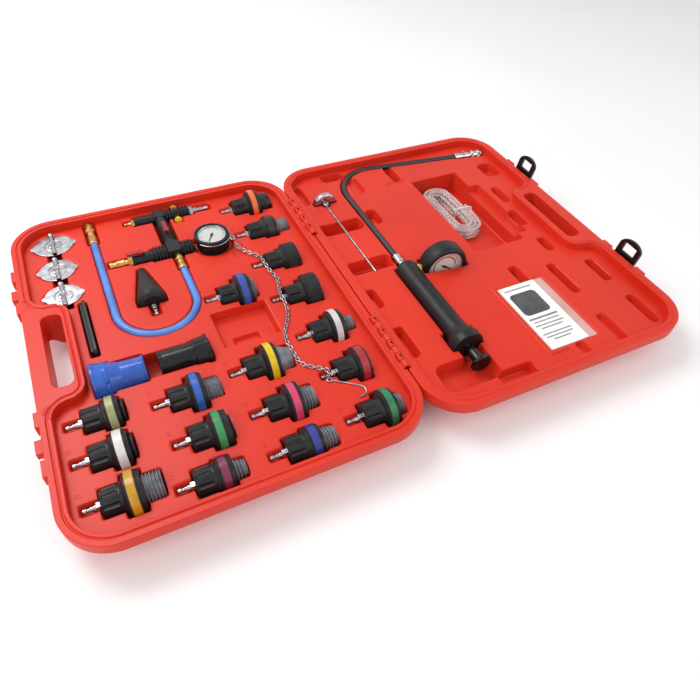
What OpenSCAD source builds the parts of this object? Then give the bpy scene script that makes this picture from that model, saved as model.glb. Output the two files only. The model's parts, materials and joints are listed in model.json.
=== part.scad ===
// Radiator pressure tester kit: a moulded carrying case, opened flat, with its pump,
// vacuum refill gun, cap adapters, hoses, thermometer and printed guide in fitted nests.
// Millimetres, +Z up. The origin lies on the base of the tray half, half its width from
// the hinge line. Inside a half, u runs from the hinge line to the handle edge and z is 0
// at the hinge axis, level with the rims. Both halves use the same frame, the tray mirrored.

/* [Case] */
// Length of the case along its hinge line
case_l = 570; // [566:2:590]
// Width of one half, from the hinge line to the handle edge
half_w = 431; // [431:1:450]
// Depth of one half, from the rim to the base
half_d = 55; // [54:1:66]
// Radius of the case corners in plan
corner_r = 60; // [50:1:70]
// Height of the upright band below each rim
band_h = 17; // [15:1:19]
// How far the sloping wall brings the base in
base_in = 36; // [30:1:38]
// Width of the flat land round each rim
rim_w = 14; // [12:0.5:15]
// Depth of the moulded face below the rim
face_drop = 12; // [11.6:0.2:14]

/* [Handle] */
// Length of each handle opening
grip_l = 130; // [110:2:140]
// Width of each handle opening
grip_w = 26; // [22:1:30]
// Thickness of the bar that the hand closes round
grip_bar = 21; // [19:1:23]

/* [Hinge] */
// Radius of the hinge knuckles
knuckle_r = 5; // [4.5:0.1:5.4]
// Radius of the steel hinge pins
pin_r = 2; // [1.6:0.1:2.4]
// Radial play of a pin in its knuckles
pin_play = 0.05; // [0.03:0.01:0.09]
// Length of each group of knuckles
knuckle_run = 98; // [90:2:110]
// Distance of each group from the middle of the hinge line
hinge_mid = 150; // [140:2:156]

/* [Latches] */
// Width of a latch along the case edge
latch_w = 42; // [38:1:46]
// Height of a latch from its pivot to its top
latch_h = 38; // [36:1:40]
// Thickness of a latch
latch_t = 5; // [4.5:0.1:5.5]
// Distance of each latch from the middle of the edge
latch_mid = 133; // [124:1:140]
// Outward lean of an open latch, in degrees
latch_lean = 12; // [8:1:14]

/* [Cap adapters] */
// Radius of the hand-grip part of an adapter
knob_r = 17; // [15.5:0.25:17.5]
// Length of the hand-grip part
knob_l = 23; // [21:1:24]
// Length of the chrome plug nipple outside the grip
nipple_l = 20; // [17:1:21]
// Thickness of a coloured ring
ring_t = 2.4; // [1.6:0.2:3]
// Play between a piece and the nest that holds it
nest_gap = 0.3; // [0.3:0.05:0.5]

/* [Pump] */
// Radius of the rubber grip on the pump barrel
pump_r = 17; // [15:0.25:17.5]
// Length of the rubber grip
pump_l = 166; // [160:2:168]
// Radius of the flare at the open end of the grip
flare_r = 24; // [21:0.5:24.5]
// Radius of the plunger rod
rod_r = 4; // [3:0.25:4.5]
// Stroke that the nest leaves for the plunger
stroke = 22; // [14:1:24]
// Radius of the rubber boot round the pump gauge
boot_r = 36.5; // [34:0.5:37]
// Thickness of the booted pump gauge
boot_t = 30; // [26:1:32]
// Radius of the black test hose
test_hose_r = 5; // [4:0.25:5.5]

/* [Vacuum gun] */
// Radius of the vacuum gauge case
vac_r = 27; // [25:0.5:28]
// Height of the vacuum gauge case
vac_t = 27; // [25:0.5:27.5]
// Radius of the blue refill hose
refill_hose_r = 5.5; // [4.5:0.25:5.75]
// Radius of the ribs on the gun's barrels
rib_r = 12; // [10.5:0.25:12.5]

/* [Loose items] */
// Radius of the thermometer dial
dial_r = 20; // [18:0.5:21]
// Length of the thermometer stem
stem_l = 184; // [176:2:186]
// Radius of the clear hose
clear_hose_r = 2.75; // [2.5:0.25:3]
// Wire thickness of the chain
chain_wire = 1.5; // [1.2:0.1:1.6]
// Length of one chain link
link_l = 9; // [8.4:0.2:10]

/* [Hidden] */

$fn = 48;
round_fn = 64;
wire_fn = 16;
hinge_x = half_w / 2;
hinge_gap = 1;
rim_gap = 0.4;
face_z = -face_drop;
edge_y = case_l / 2;
grip_mid = 5;
base_panel = 1.5;
base_foot = 14;
base_groove = 6;
seal_w = 2.4;
seal_h = 1.4;
seal_play = 0.4;
seal_in = 4.5;

// ---------------------------------------------------------------- frames
module in_lid() translate([hinge_x, 0, half_d]) children();
module in_tray() in_lid() mirror([1, 0, 0]) children();

// A revolved piece whose axis lies along +u: points are [distance along u, radius]
module turned_u(points, fn = round_fn) {
  rotate([0, 90, 0]) rotate_extrude($fn = fn) polygon([for (p = points) [p[1], p[0]]]);
}
// A revolved piece whose axis lies along +y
module turned_y(points, fn = round_fn) {
  rotate([-90, 0, 0]) rotate_extrude($fn = fn) polygon([for (p = points) [p[1], p[0]]]);
}
// A half-round nest along +u, open to above: from a to b, radius r, axis at z = 0
module nest_u(a, b, r, up) {
  translate([a, 0, 0]) rotate([0, 90, 0]) cylinder(r = r, h = b - a, $fn = round_fn);
  translate([a, -r, 0]) cube([b - a, 2 * r, up]);
}
module nest_y(a, b, r, up) {
  translate([0, a, 0]) rotate([-90, 0, 0]) cylinder(r = r, h = b - a, $fn = round_fn);
  translate([-r, a, 0]) cube([2 * r, b - a, up]);
}
// A box nest in the moulded face: corners in plan and the depth below the face
module pit(u0, u1, y0, y1, depth) {
  translate([u0, y0, face_z - depth]) cube([u1 - u0, y1 - y0, depth - face_z]);
}

module round_pit(p) translate([0, 0, face_z - p[4]]) linear_extrude(p[4] - face_z)
  round_rect(p[0], p[1], p[2], p[3], p[5]);

// ---------------------------------------------------------------- case halves
module round_rect(u0, u1, y0, y1, r) {
  translate([u0 + r, y0]) square([u1 - u0 - 2 * r, y1 - y0]);
  translate([u0, y0 + r]) square([u1 - u0, y1 - y0 - 2 * r]);
  for (u = [u0 + r, u1 - r], y = [y0 + r, y1 - r]) translate([u, y]) circle(r, $fn = round_fn);
}
module half_outline(inset) {
  round_rect(hinge_gap + inset, half_w - inset, inset - edge_y, edge_y - inset, corner_r - inset);
}
// Land that carries the handle bar, kept at rim height; grow widens it
land_r = 22;
land_side = 22;
grip_u0 = half_w - grip_bar - grip_w;
module handle_land(grow) {
  u0 = grip_u0 - 11 - grow;
  y0 = grip_mid - grip_l / 2 - land_side - grow;
  y1 = grip_mid + grip_l / 2 + land_side + grow;
  edge = half_w - rim_w - grow;
  sweep = land_r - grow;
  round_rect(u0, half_w + land_r, y0, y1, land_r + grow);
  for (s = [0, 1]) {
    y = s == 0 ? y0 : y1;
    difference() {
      translate([edge - sweep, s == 0 ? y - sweep : y]) square([sweep + 0.5, sweep]);
      translate([edge - sweep, s == 0 ? y - sweep : y + sweep]) circle(sweep, $fn = round_fn);
    }
  }
}
module recess_outline(grow = 0) {
  difference() {
    half_outline(rim_w - grow);
    handle_land(-grow);
  }
}
// The outer form: an upright band, then walls that slope in to the base
module half_body() {
  u0 = hinge_gap;
  slope_h = half_d - band_h;
  y_mid = case_l - 2 * corner_r;
  u_mid = half_w - u0 - 2 * corner_r;
  translate([0, 0, -band_h]) linear_extrude(band_h - rim_gap / 2) half_outline(0);
  rotate([90, 0, 0]) linear_extrude(y_mid, center = true)
    polygon([[u0, -band_h], [half_w, -band_h], [half_w - base_in, -half_d], [u0 + base_in, -half_d]]);
  translate([u0 + corner_r, 0, 0]) rotate([90, 0, 90]) linear_extrude(u_mid)
    polygon([[-edge_y, -band_h], [edge_y, -band_h], [edge_y - base_in, -half_d], [base_in - edge_y, -half_d]]);
  for (u = [u0 + corner_r, half_w - corner_r], s = [-1, 1])
    translate([u, s * (edge_y - corner_r), -half_d])
      cylinder(h = slope_h, r1 = corner_r - base_in, r2 = corner_r, $fn = round_fn);
}
// A line pressed into the base all round, which stiffens it and leaves its middle flat
module base_outline(inset) {
  o = base_in + base_foot + inset;
  round_rect(o, half_w - o - 20, o - edge_y, edge_y - o, 20 - inset);
}
module half_blank() {
  difference() {
    half_body();
    translate([0, 0, face_z]) linear_extrude(face_drop + 1) recess_outline();
    translate([0, 0, -half_d - 1]) linear_extrude(half_d + 2)
      round_rect(grip_u0, grip_u0 + grip_w, grip_mid - grip_l / 2, grip_mid + grip_l / 2, 10);
    translate([0, 0, -half_d - 1]) linear_extrude(base_panel + 1) difference() {
      base_outline(0);
      base_outline(base_groove);
    }
  }
}
// The locating bead of the lid and the groove of the tray follow one line round the land
module seal_line(w) {
  difference() {
    recess_outline(seal_in + w);
    recess_outline(seal_in);
  }
}

// ---------------------------------------------------------------- hinge
knuckles = 8;
knuckle_pitch = knuckle_run / knuckles;
knuckle_slit = 0.8;
hinge_clear = 0.6;
module hinge_relief() {
  for (s = [-1, 1])
    translate([0, s * hinge_mid - knuckle_run / 2 - knuckle_slit, 0]) rotate([-90, 0, 0])
      cylinder(r = knuckle_r + hinge_clear, h = knuckle_run + 2 * knuckle_slit);
}
// Knuckles of one half: every second one, from the first (tray) or the second (lid)
module knuckle_set(first) {
  for (s = [-1, 1], i = [first:2:knuckles - 1])
    translate([0, s * hinge_mid - knuckle_run / 2 + i * knuckle_pitch + knuckle_slit / 2, 0]) {
      rotate([-90, 0, 0]) cylinder(r = knuckle_r, h = knuckle_pitch - knuckle_slit);
      translate([0, 0, -knuckle_r]) cube([knuckle_r + hinge_clear + 1, knuckle_pitch - knuckle_slit,
                                          knuckle_r - rim_gap / 2]);
    }
}
module pin_bores() {
  for (s = [-1, 1])
    translate([0, s * hinge_mid - knuckle_run / 2 - 1, 0]) rotate([-90, 0, 0])
      cylinder(r = pin_r + pin_play, h = knuckle_run + 2);
}
// Windows over the pins, seen as bright dashes between the moulded knuckles
module pin_windows() {
  for (s = [-1, 1], i = [1:2:knuckles - 1])
    translate([-1.6, s * hinge_mid - knuckle_run / 2 + (i + 0.5) * knuckle_pitch - 3, 0]) cube([3.2, 6, 9]);
}
module hinge_pins() color("silver") in_lid() {
  for (s = [-1, 1])
    translate([0, s * hinge_mid - knuckle_run / 2, 0]) rotate([-90, 0, 0]) cylinder(r = pin_r, h = knuckle_run);
}

// ---------------------------------------------------------------- latches and keepers
latch_off = 2.4;
latch_pivot_z = -12;
latch_pin_r = 2.2;
window_w = 24;
window_lo = 15.5;
window_h = 14.5;
keeper_w = window_w - 4;
keeper_lo = window_lo + latch_pivot_z + 2.2;
keeper_h = window_h - 4.4;
latch_u = half_w + latch_off + latch_t / 2;
ear_t = 4;
ear_gap = 0.5;
module latch_bodies(y) {
  translate([latch_u, y, latch_pivot_z]) rotate([0, latch_lean, 0]) {
    difference() {
      union() {
        rotate([90, 0, 90]) translate([0, 0, -latch_t / 2]) linear_extrude(latch_t) difference() {
          union() {
            translate([-latch_w / 2, 0]) square([latch_w, latch_h - 13]);
            translate([0, latch_h - 13]) intersection() {
              scale([latch_w / 26, 1]) circle(13, $fn = round_fn);
              translate([-latch_w / 2, 0]) square([latch_w, 13]);
            }
          }
          translate([-window_w / 2, window_lo]) square([window_w, window_h]);
        }
        rotate([90, 0, 0]) cylinder(r = latch_t / 2, h = latch_w, center = true);
      }
    }
    rotate([90, 0, 0]) cylinder(r = latch_pin_r, h = latch_w + 2 * ear_t + 2 * ear_gap, center = true);
    translate([latch_t / 2 - 0.5, -latch_w / 2 + 3, window_lo + window_h + 1]) cube([2.5, latch_w - 6, 2.5]);
  }
}
module latch_far() color([0.08, 0.08, 0.09]) in_lid() latch_bodies(latch_mid);
module latch_near() color([0.08, 0.08, 0.09]) in_lid() latch_bodies(-latch_mid);
// Two ears on the lid band carry each latch; the latch snaps between them
module latch_ears() {
  for (s = [-1, 1], e = [-1, 1])
    translate([0, s * latch_mid + e * (latch_w / 2 + ear_gap + ear_t / 2), latch_pivot_z]) difference() {
      union() {
        translate([latch_u, 0, 0]) rotate([90, 0, 0]) cylinder(r = 4.5, h = ear_t, center = true);
        translate([half_w - 3, -ear_t / 2, -4.5]) cube([latch_u - half_w + 3, ear_t, 9]);
      }
      translate([latch_u, 0, 0]) rotate([90, 0, 0]) cylinder(r = latch_pin_r + pin_play, h = ear_t + 2, center = true);
    }
}
// Keeper on the tray band: a long boss with a gap for the latch and a catch in the gap
keeper_run = 92;
keeper_out = 4.6;
module bosses(inner) {
  for (s = [-1, 1], e = [-1, 1])
    translate([half_w - 3, s * latch_mid + (e > 0 ? inner : -keeper_run / 2), -band_h + 1])
      cube([keeper_out + 3, keeper_run / 2 - inner, band_h - 1 - rim_gap / 2]);
}
module keepers() {
  bosses(latch_w / 2 + 2);
  for (s = [-1, 1]) translate([0, s * latch_mid, 0]) {
    translate([half_w - 3, -keeper_w / 2, -keeper_lo - keeper_h]) cube([latch_off + latch_t + 4.4, keeper_w, keeper_h]);
  }
}

// ---------------------------------------------------------------- cap adapters
// Each row: ring edge u, y, ring radius, ring width, back flange width, plug radii, plug length
ADAPTERS = [
  [64.5, 229, 26.5, 9, 5, 19, 17, 20, "orange"],
  [61, 158, 22.5, 9, 6, 14, 14, 20, "saddlebrown"],
  [61, 78, 24, 18, 1.5, 15, 15, 3, "dimgray"],
  [61, -3, 26.5, 18, 1.5, 16, 16, 3, "dimgray"],
  [148, 33, 28, 10, 6, 19, 17, 7, "royalblue"],
  [56, -85, 26.5, 9, 6, 13, 12, 17, "white"],
  [54, -159.5, 27, 10, 3, 17, 17, 3, "darkred"],
  [159, -110, 29, 9, 5, 20, 15, 19, "gold"],
  [54, -236, 26.5, 9, 4, 16, 14, 12, "green"],
  [156, -182, 27.5, 9, 5, 18, 14, 19, "hotpink"],
  [156, -245.5, 22.5, 9, 5, 15, 12, 19, "navy"],
  [259, -122, 28, 9, 5, 16, 16, 20, "dodgerblue"],
  [251, -186.5, 25.5, 9, 8, 16, 16, 3, "green"],
  [262, -244, 22, 9, 5, 13, 10, 15, "maroon"],
  [359, -167.5, 25, 10, 5, 17, 17, 5, "whitesmoke"],
  [358, -227, 27, 9.5, 6, 17.5, 17.5, 21, "goldenrod"],
  [358, -113, 23, 9, 5, 16, 16, 5, "olive"]];
// Depth of an adapter's axis below the moulded face, so that every ring clears the closed lid
axis_sink = 3;
closed_clear = 0.5;
function sink(a) = max(axis_sink, a[2] - (face_drop - closed_clear));
function axis_z(a) = face_z - max(axis_sink, a[2] + face_z + closed_clear + face_z);
shoulder_l = 6;
spigot_r = 5;
spigot_l = 6;
tail_r = 3;
tail_l = 8;
fit = 0.05;
flute_n = 8;
flute_r = 2.2;
rim_step = 0.6;

module adapter_body(a) {
  w = a[3];
  back = w + a[4];
  seat = a[2] - ring_t - fit;
  difference() {
    turned_u([[-back, 0], [-back, a[2] - rim_step], [-w, a[2] - rim_step], [-w, seat], [0, seat],
              [0, a[2] - rim_step], [2, a[2] - rim_step], [shoulder_l, knob_r + 1], [shoulder_l, knob_r],
              [shoulder_l + knob_l - 2, knob_r], [shoulder_l + knob_l, knob_r - 2.5], [shoulder_l + knob_l, 0]]);
    translate([-back - 1, 0, 0]) rotate([0, 90, 0]) cylinder(r = spigot_r + fit, h = spigot_l + 1.5);
    translate([shoulder_l + knob_l - tail_l - 0.5, 0, 0]) rotate([0, 90, 0])
      cylinder(r = tail_r + fit, h = tail_l + 1);
    for (i = [0:flute_n - 1]) rotate([i * 360 / flute_n + 22.5, 0, 0])
      translate([shoulder_l + 5, 0, knob_r + 0.6]) rotate([0, 90, 0]) cylinder(r = flute_r, h = knob_l - 9);
  }
}
module adapter_ring(a) {
  turned_u([[-a[3] + fit, a[2] - ring_t], [-a[3] + fit, a[2]], [-fit, a[2]], [-fit, a[2] - ring_t]]);
}
// Quick-plug nipple: a hexagon, a waist and a beaded tip
module nipple(len, tail = tail_l) {
  rotate([0, 90, 0]) cylinder(r = 5.6, h = 5, $fn = 6);
  turned_u([[-tail, 0], [-tail, tail_r], [4, tail_r], [4, 3.6], [8, 3.6], [9, 2.9], [len * 0.62, 2.9],
            [len * 0.62, 2.2], [len * 0.74, 2.2], [len * 0.8, 2.9], [len - 1, 2.9], [len, 2.3], [len, 0]]);
}
module adapter_plug(a) {
  back = a[3] + a[4];
  e = -back - a[7];
  turned_u([[e, 0], [e, a[6] - 1], [e + 1, a[6]], [-back, a[5]], [-back, spigot_r],
            [-back + spigot_l, spigot_r], [-back + spigot_l, 0]]);
}
module adapter(i) in_tray() translate([ADAPTERS[i][0], ADAPTERS[i][1], axis_z(ADAPTERS[i])]) {
  a = ADAPTERS[i];
  color([0.1, 0.1, 0.1]) adapter_body(a);
  color(a[8]) adapter_ring(a);
  color("silver") translate([shoulder_l + knob_l, 0, 0]) nipple(nipple_l);
  color("dimgray") adapter_plug(a);
}
// The nest of one adapter follows its nipple, grip, rings and plug
module adapter_nest(a) {
  g = nest_gap;
  up = face_drop + axis_sink + 20;
  back = a[3] + a[4];
  front = shoulder_l + knob_l;
  translate([a[0], a[1], axis_z(a)]) {
    nest_u(front - 1, front + nipple_l + 1.5, 6 + g, up);
    nest_u(1, front + g, knob_r + 1 + g, up);
    nest_u(-back - g, shoulder_l, a[2] + g, up);
    nest_u(-back - a[7] - g, 0, max(a[5], a[6]) + g, up);
  }
}

// ---------------------------------------------------------------- cap plates
// Each row: centre u, y, half length, half width of the lens-shaped plate
PLATES = [[374.5, 236, 33, 24.5], [376.5, 175, 29, 23], [376, 117, 29, 22]];
plate_t = 1.6;
plate_z = face_z - 1.2;
seal_r = 18;
seal_t = 15;
tube_r = 3.2;
tube_z = plate_z + plate_t + 4;
// The lens is where two circles of one radius cross, its points rounded off
module plate_outline(p, grow = 0) {
  off = (p[2] * p[2] / p[3] - p[3]) / 2;
  intersection_for(s = [-1, 1])
    translate([0, s * off]) circle(off + p[3] + grow, $fn = round_fn);
  for (s = [-1, 1]) translate([s * (p[2] - 5.5), 0]) circle(4 + grow);
}
module cap_plate(i) in_tray() translate([PLATES[i][0], PLATES[i][1], 0]) {
  color("gainsboro") {
    translate([0, 0, plate_z]) linear_extrude(plate_t) difference() {
      plate_outline(PLATES[i]);
      circle(4.05);
    }
    translate([0, 0, plate_z + plate_t]) difference() {
      cylinder(r = 13, h = 1.2);
      translate([0, 0, -1]) cylinder(r = 11, h = 3);
    }
    difference() {
      translate([0, 0, plate_z - 8]) cylinder(r = 4, h = tube_z - plate_z + 8 + tube_r + 1);
      translate([0, -9, tube_z]) rotate([-90, 0, 0]) cylinder(r = tube_r + fit, h = 18);
    }
    translate([0, 0, tube_z])
      turned_y([[-27, 1.6], [-27, tube_r], [18, tube_r], [18, 4.3], [21, 4.3], [21, 1.6]]);
  }
  color([0.1, 0.1, 0.1]) difference() {
    translate([0, 0, plate_z - seal_t]) cylinder(r = seal_r, h = seal_t - 0.05);
    translate([0, 0, plate_z - 8.5]) cylinder(r = 4.05, h = 9);
  }
}
module plate_nests() {
  for (p = PLATES) translate([p[0], p[1], 0]) {
    translate([0, 0, plate_z - nest_gap]) linear_extrude(20) plate_outline(p, nest_gap);
    translate([0, 0, plate_z - seal_t - nest_gap]) cylinder(r = seal_r + nest_gap + 0.6, h = 40);
  }
  translate([PLATES[2][0] - 9, PLATES[2][1] - 30, plate_z - 10])
    cube([18, PLATES[0][1] - PLATES[2][1] + 44, 40]);
}

// ---------------------------------------------------------------- vacuum gun
gun_z = face_z - 3;
upper_y = 252;
lower_y = 158;
leg_u = 210;
vac_u = 150;
vac_y = 154;
vac_top = 7;
core_r = rib_r - 2.5;
// A run of round ribs along +u from a to b
module ribs_u(a, b, r, pitch = 5) {
  n = floor((b - a) / pitch);
  for (i = [0:n - 1]) translate([a + i * pitch, 0, 0]) rotate([0, 90, 0]) cylinder(r = r, h = pitch * 0.5);
}
module barrel_u(a, b, r) translate([a, 0, 0]) rotate([0, 90, 0]) cylinder(r = r, h = b - a);
shuttle_u = 183;
shuttle_r = 5;
module gun_body() color([0.12, 0.12, 0.12]) in_tray() translate([0, 0, gun_z]) difference() {
  union() {
    translate([0, upper_y, 0]) {
      barrel_u(162, 250, core_r - 1);
      ribs_u(216, 250, rib_r - 3);
      ribs_u(162, 205, rib_r);
    }
    translate([leg_u, upper_y, 0]) cube([16, 20, 20], center = true);
    translate([leg_u, lower_y, 0]) rotate([-90, 0, 0]) cylinder(r = core_r, h = upper_y - lower_y);
    for (i = [0:6]) translate([leg_u, lower_y + 26 + i * 5, 0]) rotate([-90, 0, 0])
      cylinder(r = rib_r - 1.5, h = 2.5);
    translate([0, lower_y, 0]) {
      barrel_u(182, 272, core_r);
      ribs_u(184, 197, rib_r + 2.5);
      ribs_u(217, 240, rib_r + 2.5);
      ribs_u(242, 262, rib_r - 1.5);
    }
    translate([leg_u, lower_y, 0]) cube([20, 26, 26], center = true);
  }
  translate([shuttle_u, upper_y - 30, 0]) rotate([-90, 0, 0]) cylinder(r = shuttle_r - 1.5 + fit, h = 60);
  for (p = [[leg_u, lower_y + 40], [258, lower_y]])
    translate([p[0], p[1], 2]) cylinder(r = lever_pin_r + fit, h = 20);
}
// Levers of the two ball valves turn on upright stems
lever_pin_r = 2.5;
lever_l = 22;
lever_z = rib_r + 1.5;
module valve_lever() {
  translate([0, 0, 3]) cylinder(r = lever_pin_r, h = lever_z + 2 - 3);
  translate([0, 0, lever_z]) {
    cylinder(r = 4.5, h = 2.4);
    translate([0, -3, 0]) cube([lever_l - 3, 6, 2.4]);
    translate([lever_l - 3, 0, 0]) cylinder(r = 3, h = 2.4);
  }
}
module valve_lever_upper() color("firebrick") in_tray()
  translate([leg_u, lower_y + 40, gun_z]) rotate([0, 0, 90]) valve_lever();
module valve_lever_lower() color("firebrick") in_tray()
  translate([258, lower_y, gun_z]) valve_lever();
module shuttle_valve() color("gold") in_tray() translate([shuttle_u, upper_y, gun_z])
  turned_y([[-21, 0], [-21, 4], [-19, 6.5], [-16, 6.5], [-15, shuttle_r - 1.5], [15.4, shuttle_r - 1.5],
            [16, 6.5], [17.6, 6.5], [18.4, 4], [18.4, 0]]);
// Brass and chrome fittings screwed to the barrels
fitting_y0 = 112;
module gun_fittings() in_tray() translate([0, 0, gun_z]) {
  color("silver") translate([161.5, upper_y, 0]) mirror([1, 0, 0]) {
    rotate([0, 90, 0]) cylinder(r = 8, h = 6, $fn = 6);
    turned_u([[5, 0], [5, 5.5], [12, 5.5], [13, 3.8], [22, 3.8], [22, 2.8], [26, 2.8], [27, 3.8], [32, 3.4], [32, 0]]);
  }
  color("goldenrod") {
    translate([250, upper_y, 0]) nipple(16, 0);
    translate([272, lower_y, 0]) {
      rotate([0, 90, 0]) cylinder(r = 7.5, h = 7, $fn = 6);
      turned_u([[6, 0], [6, 5], [12, 5], [12, 6.5], [24, 6.5], [24, 5], [30, 5], [30, 6], [34, 6], [34, 0]]);
    }
    translate([0, lower_y, 0]) barrel_u(vac_u + vac_r + 0.4, 182, 5);
    translate([leg_u - 3, 0, 0]) difference() {
      translate([0, fitting_y0, 0]) rotate([-90, 0, 0]) cylinder(r = 7.5, h = lower_y - 13 - fitting_y0);
      translate([0, fitting_y0 - 1, 0]) rotate([-90, 0, 0]) cylinder(r = refill_hose_r + fit, h = 13);
    }
    translate([hose_left, 0, 0]) {
      translate([0, 268, 0]) rotate([90, 0, 0]) difference() {
        cylinder(r = 8, h = 18);
        translate([0, 0, -1]) cylinder(r = 4.5, h = 14);
      }
      translate([0, 250, 0]) rotate([90, 0, 0]) cylinder(r = 6.4, h = 14);
      translate([0, 236, 0]) rotate([90, 0, 0]) difference() {
        cylinder(r = 7.2, h = 18);
        translate([0, 0, 4]) cylinder(r = refill_hose_r + fit, h = 15);
      }
    }
  }
}
// Refill hose: two straight legs and a half turn between them
hose_left = 318;
hose_right = leg_u - 3;
hose_bend = (hose_left - hose_right) / 2;
hose_turn_y = 51;
module refill_hose() color([0.25, 0.45, 0.8]) in_tray() translate([0, 0, gun_z]) {
  translate([hose_left, hose_turn_y, 0]) rotate([-90, 0, 0]) cylinder(r = refill_hose_r, h = 231.8 - hose_turn_y);
  translate([hose_right, hose_turn_y, 0]) rotate([-90, 0, 0])
    cylinder(r = refill_hose_r, h = fitting_y0 + 12 - hose_turn_y - fit);
  translate([hose_right + hose_bend, hose_turn_y, 0]) rotate([0, 0, 180]) rotate_extrude(angle = 180)
    translate([hose_bend, 0]) circle(refill_hose_r, $fn = 32);
}
module vacuum_gauge_case() color([0.1, 0.1, 0.1]) in_tray() translate([vac_u, vac_y, vac_top - vac_t])
  difference() {
    rotate_extrude($fn = round_fn) polygon([[0, 0], [vac_r - 5, 0], [vac_r - 2, 3], [vac_r - 2, vac_t - 9],
      [vac_r, vac_t - 7], [vac_r, vac_t - 2], [vac_r - 1.5, vac_t], [vac_r - 4, vac_t], [vac_r - 5, vac_t - 5],
      [0, vac_t - 5]]);
    translate([0, 0, vac_t - 10]) cylinder(r = 1.25, h = 10);
  }
module vacuum_gauge_dial() color("white") in_tray() translate([vac_u, vac_y, vac_top - 5]) difference() {
  cylinder(r = vac_r - 5.3, h = 0.8);
  translate([0, 0, -1]) cylinder(r = 1.25, h = 3);
}
// A gauge needle: hub, pointer and tail, its spindle in the case
module gauge_needle(len, spindle) {
  cylinder(r = 2.2, h = 1);
  translate([0, 0, -spindle]) cylinder(r = 1.2, h = spindle + 0.5);
  linear_extrude(0.7) polygon([[-len * 0.3, -0.9], [0, -1.2], [len, -0.25], [len, 0.25], [0, 1.2], [-len * 0.3, 0.9]]);
}
module vacuum_gauge_needle() color("black") in_tray() translate([vac_u, vac_y, vac_top - 3.9])
  rotate([0, 0, -60]) gauge_needle(vac_r - 9, 3.5);
// Wire guard: a spring wire round the gauge that hooks behind the barrel
guard_wire = 0.9;
guard_r = vac_r + guard_wire + 0.1;
guard_z = 2.5;
eye_r = 3.5;
eye_at = 213;
module wire_guard() color("silver") in_tray() translate([vac_u, vac_y, guard_z]) {
  rotate([0, 0, 35]) rotate_extrude(angle = 290) translate([guard_r, 0]) circle(guard_wire, $fn = wire_fn);
  rotate([0, 0, eye_at]) translate([guard_r + eye_r + 1.5 * guard_wire, 0, 0])
    rotate_extrude() translate([eye_r, 0]) circle(guard_wire, $fn = wire_fn);
}
module gun_nests() {
  g = nest_gap;
  up = 40;
  translate([0, upper_y, gun_z]) {
    nest_u(126, 156, 9, up);
    nest_u(155, 214, rib_r + g, up);
    nest_u(200, 252, core_r + 2 + g, up);
    nest_u(248, 268, 6.5, up);
  }
  translate([shuttle_u, upper_y, gun_z]) nest_y(-26, 18.8, 7.5, up);
  translate([leg_u, 0, gun_z]) {
    nest_y(lower_y, upper_y, rib_r + 1, up);
    nest_y(lower_y - 14, lower_y + 14, 14, up);
  }
  translate([leg_u, upper_y, gun_z]) cube([17, 21, 21], center = true);
  translate([leg_u, upper_y, gun_z + 20]) cube([17, 21, 41], center = true);
  translate([0, lower_y, gun_z]) {
    nest_u(176, 244, rib_r + 3.5, up);
    nest_u(240, 274, rib_r, up);
    nest_u(270, 308, 8.4, up);
  }
  translate([leg_u, lower_y, gun_z]) cube([21, 27, 27], center = true);
  translate([leg_u - 3, 0, gun_z]) nest_y(fitting_y0 - 1, lower_y, 8.2, up);
  translate([vac_u, vac_y, vac_top - vac_t - g]) cylinder(r = vac_r + 3.4, h = up);
  translate([vac_u - 25, vac_y - 16.5, face_z - 2]) cylinder(r = 8, h = up);
  translate([hose_left, 0, gun_z]) {
    nest_y(217, 270, 9, up);
    nest_y(hose_turn_y, 218, refill_hose_r + g, up);
  }
  translate([hose_right, 0, gun_z]) nest_y(hose_turn_y, fitting_y0, refill_hose_r + g, up);
  translate([hose_right + hose_bend, hose_turn_y, gun_z]) rotate([0, 0, 180]) rotate_extrude(angle = 180)
    translate([hose_bend, 0]) {
      circle(refill_hose_r + g, $fn = 32);
      translate([-refill_hose_r - g, 0]) square([2 * refill_hose_r + 2 * g, up]);
    }
}

// ---------------------------------------------------------------- chain
// Route of the chain from the gauge guard to its hook, over the face and two nipples
CHAIN = [[121, 131.5, -3.2], [117, 124, -8], [112, 116, -9.7], [104, 104, -9.7], [96, 96, -9.7],
  [94, 86, -7], [94, 76, -7], [92, 58, -9.7], [88, 34, -9.7], [94.5, 10, -7.6], [97.5, -3, -6.6],
  [97, -16, -8.6], [99, -34, -9.7], [108, -54, -9.7], [118, -70, -9.7], [122, -88, -9.7],
  [121, -104, -9.7], [121, -122, -9.7], [117, -134, -9.7], [108, -142, -9.7], [100, -148, -9.5],
  [94, -156, -7], [93.5, -164.4, -7.2]];
chain_n = len(CHAIN);
function gap(i) = norm(CHAIN[i] - CHAIN[i - 1]);
function run(i) = i == 0 ? 0 : run(i - 1) + gap(i);
CHAIN_RUN = [for (i = [0:chain_n - 1]) run(i)];
function on_chain(s) = [for (k = [0:2]) lookup(s, [for (i = [0:chain_n - 1]) [CHAIN_RUN[i], CHAIN[i][k]]])];
link_w = 2 * chain_wire + 2.6;
link_bend = (link_w - chain_wire) / 2;
link_pitch = link_l - 2 * chain_wire - 0.5;
links = floor(CHAIN_RUN[chain_n - 1] / link_pitch);
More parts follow.
